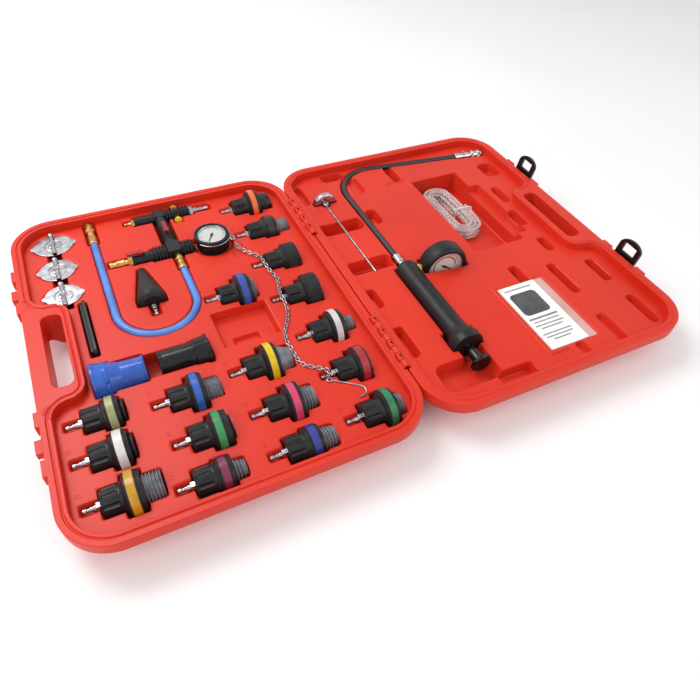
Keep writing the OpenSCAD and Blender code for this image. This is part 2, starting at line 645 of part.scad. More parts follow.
// One link: two half rings joined by two straight wires
module link() {
  straight = link_l - link_w;
  for (s = [0, 180]) rotate([0, 0, s]) {
    translate([straight / 2, 0, 0]) rotate([0, 0, -90]) rotate_extrude(angle = 180)
      translate([link_bend, 0]) circle(chain_wire / 2, $fn = wire_fn);
    translate([-straight / 2, link_bend, 0]) rotate([0, 90, 0]) cylinder(r = chain_wire / 2, h = straight, $fn = wire_fn);
  }
}
module chain() color("silver") in_tray() for (i = [0:links - 1]) {
  p = on_chain((i + 0.5) * link_pitch);
  d = on_chain((i + 1) * link_pitch) - on_chain(i * link_pitch);
  translate(p) rotate([0, 0, atan2(d[1], d[0])]) rotate([0, -atan2(d[2], norm([d[0], d[1]])), 0])
    rotate([i % 2 == 0 ? 45 : -45, 0, 0]) link();
}
// Wire hook at the free end of the chain: an eye, a straight shank and a bend of half a turn
hook_u = 96;
hook_y = -169.5;
hook_shank = 39.7;
hook_turn = 36.3;
hook_bend = 9;
module chain_hook() color("silver") in_tray() translate([hook_u, hook_y, face_z + 1.1]) {
  rotate_extrude() translate([3.4, 0]) circle(1, $fn = wire_fn);
  rotate([0, 0, hook_turn]) {
    translate([-hook_shank, 0, 0]) rotate([0, 90, 0]) cylinder(r = 1, h = hook_shank - 3.4, $fn = wire_fn);
    translate([-hook_shank, -hook_bend, 0]) rotate([0, 0, 90]) rotate_extrude(angle = 164)
      translate([hook_bend, 0]) circle(1, $fn = wire_fn);
  }
}

// ---------------------------------------------------------------- cone, wrench and sleeves
cone_u = 266;
cone_y = 54;
cone_l = 80;
cone_r = 20.5;
cone_z = face_z - 3;
module cone_adapter() color([0.1, 0.1, 0.1]) in_tray() translate([cone_u, cone_y, cone_z]) difference() {
  turned_y([[0, 0], [0, cone_r - 4], [4, cone_r], [12, cone_r], [cone_l - 4, 5.5], [cone_l, 4.5], [cone_l, 0]]);
  translate([0, cone_l + 1, 0]) rotate([90, 0, 0]) cylinder(r = 2, h = cone_l + 2);
  translate([0, -1, 0]) rotate([-90, 0, 0]) cylinder(r = tail_r + fit, h = tail_l + 1.5);
}
module cone_nipple() color("silver") in_tray() translate([cone_u, cone_y, cone_z]) rotate([0, 0, -90]) nipple(22);
module cone_nest() translate([cone_u, cone_y, cone_z]) {
  g = nest_gap + 0.2;
  nest_y(-24, 0, 7, 40);
  nest_y(-g, 13, cone_r + g, 40);
  translate([0, 12, 0]) rotate([-90, 0, 0]) cylinder(r1 = cone_r + g, r2 = 5 + g, h = cone_l - 12 + g);
  linear_extrude(40) polygon([[-cone_r - g, 12], [cone_r + g, 12], [5 + g, cone_l + g], [-5 - g, cone_l + g]]);
}
wrench_u = 356;
wrench_y0 = -14;
wrench_l = 104;
wrench_w = 26;
module strap_wrench() color([0.12, 0.12, 0.12]) in_tray() translate([wrench_u, wrench_y0, face_z + 6]) {
  translate([-4.6, 0, -wrench_w]) cube([4.4, wrench_l, wrench_w]);
  translate([0, 4, -wrench_w]) cube([3.6, wrench_l - 8, wrench_w - 3]);
}
module wrench_nest() pit(wrench_u - 5.4, wrench_u + 4.4, wrench_y0 - 0.8, wrench_y0 + wrench_l + 0.8, wrench_w - 6 + 0.4);

sleeve_y = -57;
sleeve_z = face_z - 5;
blue_u0 = 302;
blue_l = 64;
black_u0 = 219;
black_l = 66;
module blue_sleeve() color([0.15, 0.3, 0.7]) in_tray() translate([blue_u0, sleeve_y, sleeve_z]) difference() {
  turned_u([[0, 0], [0, 19], [3, 19.5], [3, 18], [30, 19], [44, 23], [46, 25.5], [49, 25.5], [49, 24], [60, 26],
            [60, 27], [blue_l, 27], [blue_l, 0]]);
  turned_u([[-1, 0], [-1, 15], [30, 16], [blue_l + 1, 23], [blue_l + 1, 0]]);
}
module black_sleeve() color([0.12, 0.12, 0.12]) in_tray() translate([black_u0, sleeve_y, sleeve_z]) difference() {
  turned_u([[0, 0], [0, 23.5], [4, 23.5], [4, 21], [20, 21], [20, 18], [62, 17], [62, 18], [black_l, 18], [black_l, 0]]);
  turned_u([[-1, 0], [-1, 17], [20, 17], [30, 13], [black_l + 1, 13], [black_l + 1, 0]]);
}
module sleeve_nest() translate([0, sleeve_y, sleeve_z]) {
  g = nest_gap;
  nest_u(black_u0 - 1, black_u0 + 6, 23.5 + g, 40);
  nest_u(black_u0, black_u0 + 22, 21 + g, 40);
  nest_u(black_u0, blue_u0 + 6, 19.5 + g, 40);
  nest_u(blue_u0, blue_u0 + 46, 23 + g, 40);
  nest_u(blue_u0 + 42, blue_u0 + blue_l + 1, 27 + g, 40);
}
// Clearance pocket that takes the pump gauge when the lid is shut
gauge_well = [122, 199, -64, 1.5];
gauge_well_d = 15;
well_step = [146, 182, -60, -40];

module tray_shell() color([0.85, 0.12, 0.1]) in_tray() difference() {
  union() {
    difference() {
      half_blank();
      hinge_relief();
      translate([0, 0, -rim_gap / 2 - seal_h - seal_play]) linear_extrude(10) difference() {
        recess_outline(seal_in + seal_w);
        recess_outline(seal_in);
      }
    }
    knuckle_set(0);
    keepers();
  }
  pin_bores();
  for (a = ADAPTERS) adapter_nest(a);
  plate_nests();
  gun_nests();
  cone_nest();
  wrench_nest();
  sleeve_nest();
  pit(gauge_well[0], gauge_well[1], gauge_well[2], gauge_well[3], gauge_well_d);
  pit(well_step[0], well_step[1], well_step[2], well_step[3], gauge_well_d + 6);
  pit(106, 128, 108, 134, 3);
}

// ---------------------------------------------------------------- pump (lid half)
pump_u = 103;
pump_y = -12;
pump_z = -14;
rod_out = 10;
grip_end = pump_y - pump_l;
flare_l = 12;
barrel_wall = 2;
bore_r = 11.5;
module pump_grip() color([0.13, 0.13, 0.13]) in_lid() difference() {
  translate([pump_u, grip_end, pump_z]) difference() {
    turned_y([[-flare_l, 0], [-flare_l, flare_r], [0, flare_r], [14, pump_r + 1.5], [30, pump_r],
              [pump_l - 40, pump_r], [pump_l - 40, pump_r + 0.6], [pump_l - 3, pump_r + 0.6],
              [pump_l, pump_r - 2], [pump_l, 0]]);
    translate([0, -flare_l - 1, 0]) rotate([-90, 0, 0])
      cylinder(r = bore_r + barrel_wall + fit, h = pump_l + flare_l + 2);
  }
  gauge_frame() rotate([0, -90, 0]) translate([0, 0, boot_r]) cylinder(r = stub_r + fit, h = stub_end - boot_r + fit);
}
module pump_barrel() color("silver") in_lid() translate([pump_u, grip_end - flare_l + 1, pump_z]) difference() {
  rotate([-90, 0, 0]) cylinder(r = bore_r + barrel_wall, h = pump_l + flare_l - 2);
  translate([0, 6, 0]) rotate([-90, 0, 0]) cylinder(r = bore_r, h = pump_l + flare_l - 13);
  translate([0, -1, 0]) rotate([-90, 0, 0]) cylinder(r = rod_r + fit, h = 9);
}
// Head: the check-valve cap, the gauge stub and the hose fitting
head_y = pump_y - 1 + fit;
head_l = 30;
socket_l = 10;
module pump_head() color("silver") in_lid() translate([pump_u, head_y, pump_z]) difference() {
  union() {
    rotate([-90, 0, 0]) cylinder(r = 8.5, h = 8, $fn = 6);
    turned_y([[7, 0], [7, 6], [13, 6], [14, 7.6], [19, 7.6], [20, 7], [head_l, 7], [head_l, 0]]);
  }
  translate([0, head_l - socket_l, 0]) rotate([-90, 0, 0]) cylinder(r = test_hose_r + fit, h = socket_l + 1);
}
plunge_y = grip_end - flare_l;
module plunger_rod() color("silver") in_lid() translate([pump_u, plunge_y, pump_z])
  turned_y([[-rod_out, 0], [-rod_out, rod_r], [8 + stroke, rod_r], [8 + stroke, bore_r - fit],
            [18 + stroke, bore_r - fit], [18 + stroke, 0]]);
knob_disc_r = 15.5;
handle_l = 24;
module plunger_knob() color([0.1, 0.1, 0.1]) in_lid() translate([pump_u, plunge_y - 2, pump_z]) difference() {
  turned_y([[-handle_l - 8, 0], [-handle_l - 8, knob_disc_r - 2], [-handle_l - 6, knob_disc_r],
            [-handle_l - 3, knob_disc_r], [-handle_l, 8], [0, 7], [0, 0]]);
  translate([0, -rod_out + 1.9, 0]) rotate([-90, 0, 0]) cylinder(r = rod_r + fit, h = rod_out);
}
// Pump gauge: stands on its edge in the nest, turned to face the user
gauge_turn = -6;
gauge_u = 164;
gauge_y = -24;
stub_r = 4.5;
stub_end = 46;
module at_gauge() in_lid() gauge_frame() children();
module gauge_frame() translate([gauge_u, gauge_y, pump_z]) rotate([0, 0, gauge_turn]) children();
module pump_gauge_boot() color([0.1, 0.1, 0.1]) at_gauge() difference() {
  turned_y([[-boot_t / 2, 0], [-boot_t / 2, boot_r - 3], [-boot_t / 2 + 2, boot_r - 1], [-boot_t / 2 + 7, boot_r],
            [boot_t / 2 - 3, boot_r - 1], [boot_t / 2, boot_r - 4], [boot_t / 2, 0]], 96);
  translate([0, -boot_t / 2 - 1, 0]) rotate([-90, 0, 0]) cylinder(r = boot_r - 7, h = 4);
  translate([0, -boot_t / 2 + 2, 0]) rotate([-90, 0, 0]) cylinder(r = boot_r - 5 + fit, h = boot_t - 6);
  rotate([0, -90, 0]) cylinder(r = stub_r + 1.5, h = boot_r + 2);
}
module pump_gauge_case() color("silver") at_gauge() {
  difference() {
    turned_y([[-boot_t / 2 + 2.1, 0], [-boot_t / 2 + 2.1, boot_r - 5], [boot_t / 2 - 4.1, boot_r - 5],
              [boot_t / 2 - 4.1, 0]]);
    translate([0, -boot_t / 2 + 1, 0]) rotate([-90, 0, 0]) cylinder(r = boot_r - 8, h = 7);
    translate([0, -boot_t / 2 + 7, 0]) rotate([-90, 0, 0]) cylinder(r = 1.25, h = 8);
  }
  rotate([0, -90, 0]) translate([0, 0, boot_r - 6]) cylinder(r = stub_r, h = stub_end - boot_r + 6);
}
module pump_gauge_dial() color("white") at_gauge() translate([0, -boot_t / 2 + 7.95, 0]) rotate([90, 0, 0])
  difference() {
    cylinder(r = boot_r - 8.3, h = 0.8);
    translate([0, 0, -1]) cylinder(r = 1.25, h = 3);
  }
module pump_gauge_needle() color("black") at_gauge() translate([0, -boot_t / 2 + 7, 0]) rotate([90, 0, 0])
  rotate([0, 0, -30]) gauge_needle(boot_r - 13, 4);

// Test hose: along the nest, round one bend and out to the quick coupler
hose_y0 = head_y + head_l - socket_l + fit;
hose_bend_y = 194;
hose_r2 = 68;
hose_turn = 97;
test_z = pump_z;
hose_end = 176;
lap = 0.3;
step = 0.02;
coupler_l = 58;
module hose_route_frame() {
  translate([pump_u + hose_r2, hose_bend_y, test_z]) rotate([0, 0, 180 - hose_turn]) translate([hose_r2, 0, 0])
    rotate([0, 0, -90]) children();
}
module test_hose() color([0.1, 0.1, 0.1]) in_lid() {
  translate([pump_u, hose_y0, test_z]) rotate([-90, 0, 0]) cylinder(r = test_hose_r, h = hose_bend_y - hose_y0 + lap);
  translate([pump_u + hose_r2, hose_bend_y, test_z]) rotate([0, 0, 180 - hose_turn]) rotate_extrude(angle = hose_turn)
    translate([hose_r2, 0]) circle(test_hose_r - step, $fn = 32);
  hose_route_frame() translate([-lap, 0, 0]) rotate([0, 90, 0]) cylinder(r = test_hose_r, h = hose_end + lap);
}
module coupler_body() color("silver") in_lid() hose_route_frame() translate([hose_end, 0, 0]) difference() {
  union() {
    turned_u([[0, 0], [0, 7.4], [10, 7.4], [10, 6.2], [20, 6.2], [20, 7], [29, 7], [29, 5.5], [coupler_l - 4, 5.5],
              [coupler_l - 4, 6.4], [coupler_l, 6], [coupler_l, 0]]);
    translate([14, -4, 0]) cube([8, 8, 7.4]);
  }
  translate([34, 0, 0]) rotate([0, 90, 0]) cylinder(r = 3, h = coupler_l);
  translate([18, 0, 3.4]) cylinder(r = 2.05, h = 9);
}
module coupler_sleeve() color("gainsboro") in_lid() hose_route_frame() translate([hose_end + 34, 0, 0]) difference() {
  turned_u([[0, 0], [0, 7.4], [1, 8], [4, 8], [4, 7.3], [13, 7.3], [13, 8], [18, 8], [19, 7.4], [19, 0]]);
  translate([-1, 0, 0]) rotate([0, 90, 0]) cylinder(r = 5.5 + fit, h = 30);
}
module release_button() color("silver") in_lid() hose_route_frame() translate([hose_end + 18, 0, 5])
  cylinder(r = 2, h = 4.8);

// ---------------------------------------------------------------- thermometer
therm_u = 58;
therm_y = 190;
therm_z = -14.5;
case_t = 9;
module thermometer_case() color("silver") in_lid() translate([therm_u, therm_y, therm_z]) difference() {
  turned_y([[-case_t / 2 - 5, 0], [-case_t / 2 - 5, 5], [-case_t / 2, 6], [-case_t / 2, dial_r - 2], [-case_t / 2 + 2, dial_r],
            [case_t / 2, dial_r], [case_t / 2, 0]]);
  translate([0, case_t / 2 - 2.5, 0]) rotate([-90, 0, 0]) cylinder(r = dial_r - 1.5, h = 5);
  translate([0, -case_t / 2 - 6, 0]) rotate([-90, 0, 0]) cylinder(r = 2 + fit, h = 6);
  translate([0, -1, 0]) rotate([-90, 0, 0]) cylinder(r = 0.85, h = 6);
}
module thermometer_stem() color("silver") in_lid() translate([therm_u, therm_y - case_t / 2, therm_z])
  turned_y([[-stem_l - 5, 0], [-stem_l - 2, 1.6], [-5 - 14, 1.6], [-5 - 14, 2], [-0.5, 2], [-0.5, 0]]);
module thermometer_needle() color("red") in_lid() translate([therm_u, therm_y + case_t / 2 - 2.2, therm_z])
  rotate([-90, 0, 0]) rotate([0, 0, 40]) {
    cylinder(r = 1.6, h = 0.8);
    translate([0, 0, -3]) cylinder(r = 0.8, h = 3.4);
    linear_extrude(0.6) polygon([[-4, -0.7], [dial_r - 5, -0.2], [dial_r - 5, 0.2], [-4, 0.7]]);
  }

// ---------------------------------------------------------------- clear hose coil
well = [231, 322, -20, 189];
well_d = 34;
coil_u = 269;
coil_y = 113;
coil_r = 31;
coil_h = 38;
coil_pitch = 2 * clear_hose_r + 1.7;
coil_loops = 9;
coil_z = face_z - well_d + clear_hose_r + 0.1;
tube_sides = 6;
rings_per_loop = 24;
coil_steps = coil_loops * rings_per_loop;
// Turns against pitches outwards, and turns against layers up: out, climb, in, climb, out
SPREAD = [[0, 0], [3, 3], [3.5, 3], [6, 0.5], [6.5, 0.5], [9, 3]];
CLIMB = [[0, 0], [3, 0], [3.5, 1], [6, 1], [6.5, 2], [9, 2]];
// A turn has round ends and long sides: the sides are crossed while sin() is below one half
function coil_point(k) = let (t = k / rings_per_loop, a = 360 * t, r = coil_r - (3 - lookup(t, SPREAD)) * coil_pitch)
  [r * cos(a), r * sin(a) + coil_h * max(-1, min(1, 2 * sin(a))), lookup(t, CLIMB) * coil_pitch];
COIL = [for (k = [0:coil_steps]) coil_point(k)];
function ring_at(path, k, r) = let (n = len(path), d = path[min(k + 1, n - 1)] - path[max(k - 1, 0)],
    t = d / norm(d), s = cross(t, [0, 0, 1]) / norm(cross(t, [0, 0, 1])), w = cross(s, t))
  [for (j = [0:tube_sides - 1]) path[k] + r * (cos(60 * j) * s + sin(60 * j) * w)];
module tube(path, r) {
  n = len(path);
  points = [for (k = [0:n - 1]) each ring_at(path, k, r)];
  side = [for (k = [0:n - 2], j = [0:tube_sides - 1]) let (a = k * tube_sides, b = (j + 1) % tube_sides)
    each [[a + j, a + b, a + tube_sides + j], [a + b, a + tube_sides + b, a + tube_sides + j]]];
  first = [for (j = [1:tube_sides - 2]) [0, j + 1, j]];
  last = [for (j = [1:tube_sides - 2]) [(n - 1) * tube_sides, (n - 1) * tube_sides + j, (n - 1) * tube_sides + j + 1]];
  polyhedron(points, concat(side, first, last));
}
// Least gap between turns that lie next to each other, measured from point to point
coil_gap = min([for (k = [0:2:coil_steps - rings_per_loop], m = [k + rings_per_loop - 3:k + 3 * rings_per_loop])
  if (m <= coil_steps && m - k > rings_per_loop / 2) norm(COIL[k] - COIL[m])]) - 2 * clear_hose_r;
echo(coil_gap = coil_gap);
module clear_hose() color([0.85, 0.88, 0.9]) in_lid() translate([coil_u, coil_y, coil_z]) tube(COIL, clear_hose_r);

// ---------------------------------------------------------------- printed guide
guide = [206, 290, -242, -110];
guide_t = 3;
guide_lip = 3;
module guide_pouch() color("white") in_lid() translate([guide[0], guide[2], face_z - guide_t - 0.3])
  cube([guide[1] - guide[0], guide[3] - guide[2], guide_t]);
module guide_frame() {
  translate([guide[0] - 6, guide[2] - 7, face_z - 1]) cube([guide_lip, guide[3] - guide[2] + 12, 4]);
  translate([guide[0] - 6, guide[2] - 7, face_z - 1]) cube([30, guide_lip, 4]);
}

// ---------------------------------------------------------------- lid nests
// Round-ended slots and other recesses: u0, u1, y0, y1, depth, corner radius
LID_PITS = [[342, 356, -64, -31, 18, 6.5], [252, 266, -125, -75, 18, 6.5],
  [313, 327, -161, -93, 18, 6.5], [379, 393, -158, -108, 18, 6.5], [381, 395, -257, -198, 14, 6.5],
  [310, 324, -270, -212, 9, 6.5], [244, 258, -270, -244, 9, 6.5], [18, 34, 193, 250, 10, 7.5],
  [22, 92, 103, 131, 22, 8], [22, 92, 0, 27, 22, 8], [16, 34, -77, -37, 16, 8],
  [18, 36, -178, -121, 18, 8], [82, 124, 246, 268, 14, 9], [203, 217, 206, 254, 18, 6.5],
  [182, 224, 170, 206, 3, 10], [120, 140, 194, 244, 8, 9], [110, 127, 104, 142, 16, 7.5],
  [376, 406, 156, 196, 16, 10], [356, 370, 76, 121, 14, 6.5], [343, 357, 9, 50, 14, 6.5],
  [38, 114, -250, -206, 20, 12], [109, 165, -268, -246, 14, 7]];
module pump_nests() {
  g = nest_gap;
  translate([pump_u, 0, pump_z]) {
    nest_y(grip_end, pump_y + g, pump_r + 1 + g, 40);
    nest_y(grip_end - flare_l - g, grip_end + 20, flare_r + g, 40);
    nest_y(grip_end - flare_l - stroke - 38, grip_end, knob_disc_r + 1, 40);
    nest_y(head_y - 1, head_y + head_l + 1, 8.5 + g, 40);
    nest_y(hose_y0 - 1, hose_bend_y + lap, test_hose_r + g, 40);
  }
  translate([pump_u + hose_r2, hose_bend_y, test_z]) rotate([0, 0, 180 - hose_turn]) rotate_extrude(angle = hose_turn)
    translate([hose_r2, 0]) {
      circle(test_hose_r + g - step, $fn = 32);
      translate([-test_hose_r - g + step, 0]) square([2 * (test_hose_r + g - step), 40]);
    }
  hose_route_frame() {
    nest_u(-lap, hose_end, test_hose_r + g, 40);
    nest_u(hose_end - 1, hose_end + coupler_l + 3, 8 + g, 40);
  }
  gauge_frame() {
    rotate([-90, 0, 0]) translate([0, 0, -boot_t / 2 - g]) cylinder(r = boot_r + g, h = boot_t + 2 * g, $fn = 96);
    translate([-boot_r - g, -boot_t / 2 - g, 0]) cube([2 * boot_r + 2 * g, boot_t + 2 * g, 40]);
    translate([-boot_r - 12, -8, -8]) cube([20, 16, 50]);
  }
}
module thermometer_nest() translate([therm_u, therm_y, therm_z]) {
  g = nest_gap;
  nest_y(-case_t / 2 - g, case_t / 2 + g, dial_r + g, 40);
  nest_y(-case_t / 2 - 7, 0, 6.5, 40);
  nest_y(-stem_l - 11, 0, 2 + g, 40);
}
module lid_shell() color([0.85, 0.12, 0.1]) in_lid() difference() {
  union() {
    difference() {
      half_blank();
      hinge_relief();
    }
    knuckle_set(1);
    latch_ears();
    bosses(latch_w / 2 + ear_gap + ear_t + 1);
    guide_frame();
    translate([0, 0, -rim_gap / 2 - 0.5]) linear_extrude(seal_h + 0.5) difference() {
      recess_outline(seal_in + seal_w - seal_play);
      recess_outline(seal_in + seal_play);
    }
  }
  pin_bores();
  pin_windows();
  for (p = LID_PITS) round_pit(p);
  pit(guide[0] - 0.3, guide[1] + 0.3, guide[2] - 0.3, guide[3] + 0.3, guide_t + 0.6);
  pit(well[0], well[1], well[2], well[3], well_d);
  pit(well[1] - 1, well[1] + 20, -5, 140, 12);
  pump_nests();
  thermometer_nest();
}

tray_shell();
lid_shell();
hinge_pins();
latch_far();
latch_near();
for (i = [0:len(ADAPTERS) - 1]) adapter(i);
for (i = [0:len(PLATES) - 1]) cap_plate(i);
gun_body();
gun_fittings();
shuttle_valve();
valve_lever_upper();
valve_lever_lower();
vacuum_gauge_case();
vacuum_gauge_dial();
vacuum_gauge_needle();
wire_guard();
refill_hose();
chain();
chain_hook();
cone_adapter();
cone_nipple();
strap_wrench();
blue_sleeve();
black_sleeve();
pump_grip();
pump_barrel();
pump_head();
plunger_rod();
plunger_knob();
pump_gauge_boot();
pump_gauge_case();
pump_gauge_dial();
pump_gauge_needle();
test_hose();
coupler_body();
coupler_sleeve();
release_button();
thermometer_case();
thermometer_stem();
thermometer_needle();
clear_hose();
guide_pouch();
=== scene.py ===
import json
import math

import bmesh
import bpy
import numpy as np
from mathutils import Matrix, Vector

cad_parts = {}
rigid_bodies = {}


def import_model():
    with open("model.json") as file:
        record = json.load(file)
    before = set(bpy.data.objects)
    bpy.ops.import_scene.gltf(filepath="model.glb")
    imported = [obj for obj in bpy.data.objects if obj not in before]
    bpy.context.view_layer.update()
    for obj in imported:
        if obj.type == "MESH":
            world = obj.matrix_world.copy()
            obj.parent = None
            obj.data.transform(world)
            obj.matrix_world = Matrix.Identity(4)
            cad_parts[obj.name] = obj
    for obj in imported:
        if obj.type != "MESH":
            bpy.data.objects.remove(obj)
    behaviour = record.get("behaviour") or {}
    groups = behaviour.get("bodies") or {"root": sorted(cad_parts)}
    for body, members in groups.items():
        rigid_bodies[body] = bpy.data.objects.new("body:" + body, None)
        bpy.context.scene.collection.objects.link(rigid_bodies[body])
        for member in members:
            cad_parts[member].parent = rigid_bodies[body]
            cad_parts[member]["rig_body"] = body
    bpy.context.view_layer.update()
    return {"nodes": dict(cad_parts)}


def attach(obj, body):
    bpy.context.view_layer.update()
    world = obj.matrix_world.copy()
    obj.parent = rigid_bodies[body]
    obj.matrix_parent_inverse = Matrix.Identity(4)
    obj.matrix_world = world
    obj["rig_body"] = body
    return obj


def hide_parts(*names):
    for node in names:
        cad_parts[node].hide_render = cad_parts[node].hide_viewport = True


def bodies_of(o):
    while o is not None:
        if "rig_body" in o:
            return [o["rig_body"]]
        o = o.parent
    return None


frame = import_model()
scene = bpy.context.scene

# ------------ camera, floor and light
# The case lies open on a pale studio floor. The camera stands where the photograph's did:
# near the tray's front corner, looking down across both halves.
HINGE_X, RIM_Z, MM = 0.2155, 0.055, 0.001
PHOTO_PX, FOCAL_PX, SENSOR_MM = 700, 585.86, 36
ACROSS, ALONG, UP = (1, 0, 0), (0, 1, 0), (0, 0, 1)
AIM = (0.2, 0, 0)

cam = bpy.data.objects.new("camera", bpy.data.cameras.new("camera"))
scene.collection.objects.link(cam)
cam.matrix_world = Matrix((
    (0.89949, 0.29167, -0.32534, -0.30429 + HINGE_X),
    (-0.43368, 0.68670, -0.58340, -0.58995),
    (0.05325, 0.66586, 0.74418, 0.57061 + RIM_Z),
    (0, 0, 0, 1)))
cam.data.sensor_width = SENSOR_MM
cam.data.lens = FOCAL_PX / PHOTO_PX * SENSOR_MM
cam.data.clip_start = 0.01
scene.camera = cam

for name, place, size, watts in (("key", (-0.5, 0.9, 1.6), 1.0, 22), ("fill", (1.5, -1.2, 1.3), 1.4, 9),
                                 ("near", (-1.2, -0.9, 1.2), 1.2, 8)):
    lamp = bpy.data.objects.new(name, bpy.data.lights.new(name, "AREA"))
    lamp.data.size, lamp.data.energy = size, watts
    lamp.location = place
    lamp.rotation_euler = (Vector(AIM) - Vector(place)).to_track_quat("-Z", "Y").to_euler()
    scene.collection.objects.link(lamp)


def linear(hexcode):
    """An sRGB hex as the linear colour that a shader takes."""
    c = np.array([int(hexcode[i:i + 2], 16) / 255 for i in (0, 2, 4)])
    return (*np.where(c <= 0.04045, c / 12.92, ((c + 0.055) / 1.055) ** 2.4).tolist(), 1)


def add(tree, kind, inputs=None, **settings):
    """A shader node with its settings and inputs; an input that is a socket is linked."""
    node = tree.nodes.new("ShaderNode" + kind)
    for key, value in settings.items():
        setattr(node, key, value)
    for key, value in (inputs or {}).items():
        if isinstance(value, bpy.types.NodeSocket):
            tree.links.new(value, node.inputs[key])
        else:
            node.inputs[key].default_value = value
    return node


def surface(name, dark, light, rough, metal=0.0, drift_mm=25, grain_mm=1.0, bump=0.1, height_mm=0.1, **extra):
    """A finish: its colour and gloss drift over drift_mm between two values, and a grain of grain_mm
    stands height_mm proud at full bump."""
    m = bpy.data.materials.new(name)
    m.use_nodes = True
    t = m.node_tree
    shader = t.nodes["Principled BSDF"]
    coord = add(t, "TexCoord").outputs["Object"]
    drift = add(t, "TexNoise", {"Vector": coord, "Scale": 1000 / drift_mm, "Detail": 4.0}).outputs["Fac"]
    colour = add(t, "ValToRGB", {"Fac": drift})
    for end, place, code in zip(colour.color_ramp.elements, (0.3, 0.7), (dark, light)):
        end.position, end.color = place, linear(code)
    t.links.new(colour.outputs["Color"], shader.inputs["Base Color"])
    gloss = add(t, "MapRange", {"Value": drift, "From Min": 0.3, "From Max": 0.7, "To Min": rough[0],
                                "To Max": rough[1]})
    t.links.new(gloss.outputs["Result"], shader.inputs["Roughness"])
    shader.inputs["Metallic"].default_value = metal
    grain = add(t, "TexNoise", {"Vector": coord, "Scale": 1000 / grain_mm, "Detail": 3.0}).outputs["Fac"]
    relief = add(t, "Bump", {"Height": grain, "Strength": bump, "Distance": height_mm * MM})
    t.links.new(relief.outputs["Normal"], shader.inputs["Normal"])
    for key, value in extra.items():
        shader.inputs[key.replace("_", " ")].default_value = value
    return m


floor = bpy.data.meshes.new("floor")
floor.from_pydata([(-6, -6, 0), (6, -6, 0), (6, 6, 0), (-6, 6, 0)], [], [(0, 1, 2, 3)])
ground = bpy.data.objects.new("floor", floor)
scene.collection.objects.link(ground)
floor.materials.append(surface("matt_studio_floor", "F4F4F4", "F8F8F8", (0.85, 0.95), drift_mm=400))
ground.location.z = -0.0005

world = bpy.data.worlds.new("studio")
world.use_nodes = True
sky = world.node_tree
seen = add(sky, "LightPath").outputs
bright = add(sky, "Math", {0: seen["Is Camera Ray"], 1: seen["Is Glossy Ray"]}, operation="MAXIMUM")
either = add(sky, "Math", {0: bright.outputs[0], 1: seen["Is Transmission Ray"]}, operation="MAXIMUM")
level = add(sky, "MapRange", {"Value": either.outputs[0], "To Min": 0.62, "To Max": 1.0})
sky.nodes["Background"].inputs["Color"].default_value = (1, 1, 1, 1)
sky.links.new(level.outputs["Result"], sky.nodes["Background"].inputs["Strength"])
scene.world = world
scene.view_settings.view_transform = "Standard"

# ------------ clear hose, the one free coil
# A spare overflow hose of clear soft PVC, coiled by hand and dropped into the deep well of the
# lid with a tie round it. PVC is glass-clear at the wall and reads white where it curves away.


def lid(p):
    """Metres in the row frame of lid points (u from the hinge, y along it, z from the rim) in mm."""
    p = np.asarray(p, float)
    return np.stack([HINGE_X + p[..., 0] * MM, p[..., 1] * MM, RIM_Z + p[..., 2] * MM], -1)


def tray(p):
    """The same for the tray, whose u runs the other way."""
    p = np.asarray(p, float)
    return np.stack([HINGE_X - p[..., 0] * MM, p[..., 1] * MM, RIM_Z + p[..., 2] * MM], -1)


def body_of(node):
    """The body that a CAD node belongs to."""
    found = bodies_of(frame["nodes"][node])
    return found if isinstance(found, str) else found[0]


SMOOTH_BELOW = math.radians(38)


def finish(mesh, name, material, body, node=None, slot=None, flat=False):
    """Turns a mesh's faces outwards, shades its soft edges smooth, and gives it its body.
    The slot it is handed is not used.
    """
    bm = bmesh.new()
    bm.from_mesh(mesh)
    bmesh.ops.remove_doubles(bm, verts=bm.verts, dist=1e-7)
    bmesh.ops.recalc_face_normals(bm, faces=bm.faces)
    bm.to_mesh(mesh)
    bm.free()
    if not flat:
        mesh.polygons.foreach_set("use_smooth", [True] * len(mesh.polygons))
        mesh.set_sharp_from_angle(angle=SMOOTH_BELOW)
    o = bpy.data.objects.new(name, mesh)
    scene.collection.objects.link(o)
    mesh.materials.append(material)
    if not flat:
        o.modifiers.new("even_shading", "WEIGHTED_NORMAL").keep_sharp = True
    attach(o, body)
    if node:
        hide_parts(*([node] if isinstance(node, str) else node))
    return o


def skin(name, points, material, body, ends=True, **links):
    """A closed skin over a grid of points: each row is a ring, its last point meets its first,
    neighbouring rings are joined by four-sided faces, and one face closes each end."""
    rows, cols = points.shape[:2]
    i, j = np.meshgrid(np.arange(rows - 1), np.arange(cols), indexing="ij")
    k = (j + 1) % cols
    quads = np.stack([i * cols + j, i * cols + k, (i + 1) * cols + k, (i + 1) * cols + j], -1).reshape(-1, 4)
    faces = quads.tolist()
    if ends:
        faces += [list(range(cols)), list(range((rows - 1) * cols, rows * cols))]
    mesh = bpy.data.meshes.new(name)
    mesh.from_pydata(points.reshape(-1, 3).tolist(), [], faces)
    return finish(mesh, name, material, body, **links)


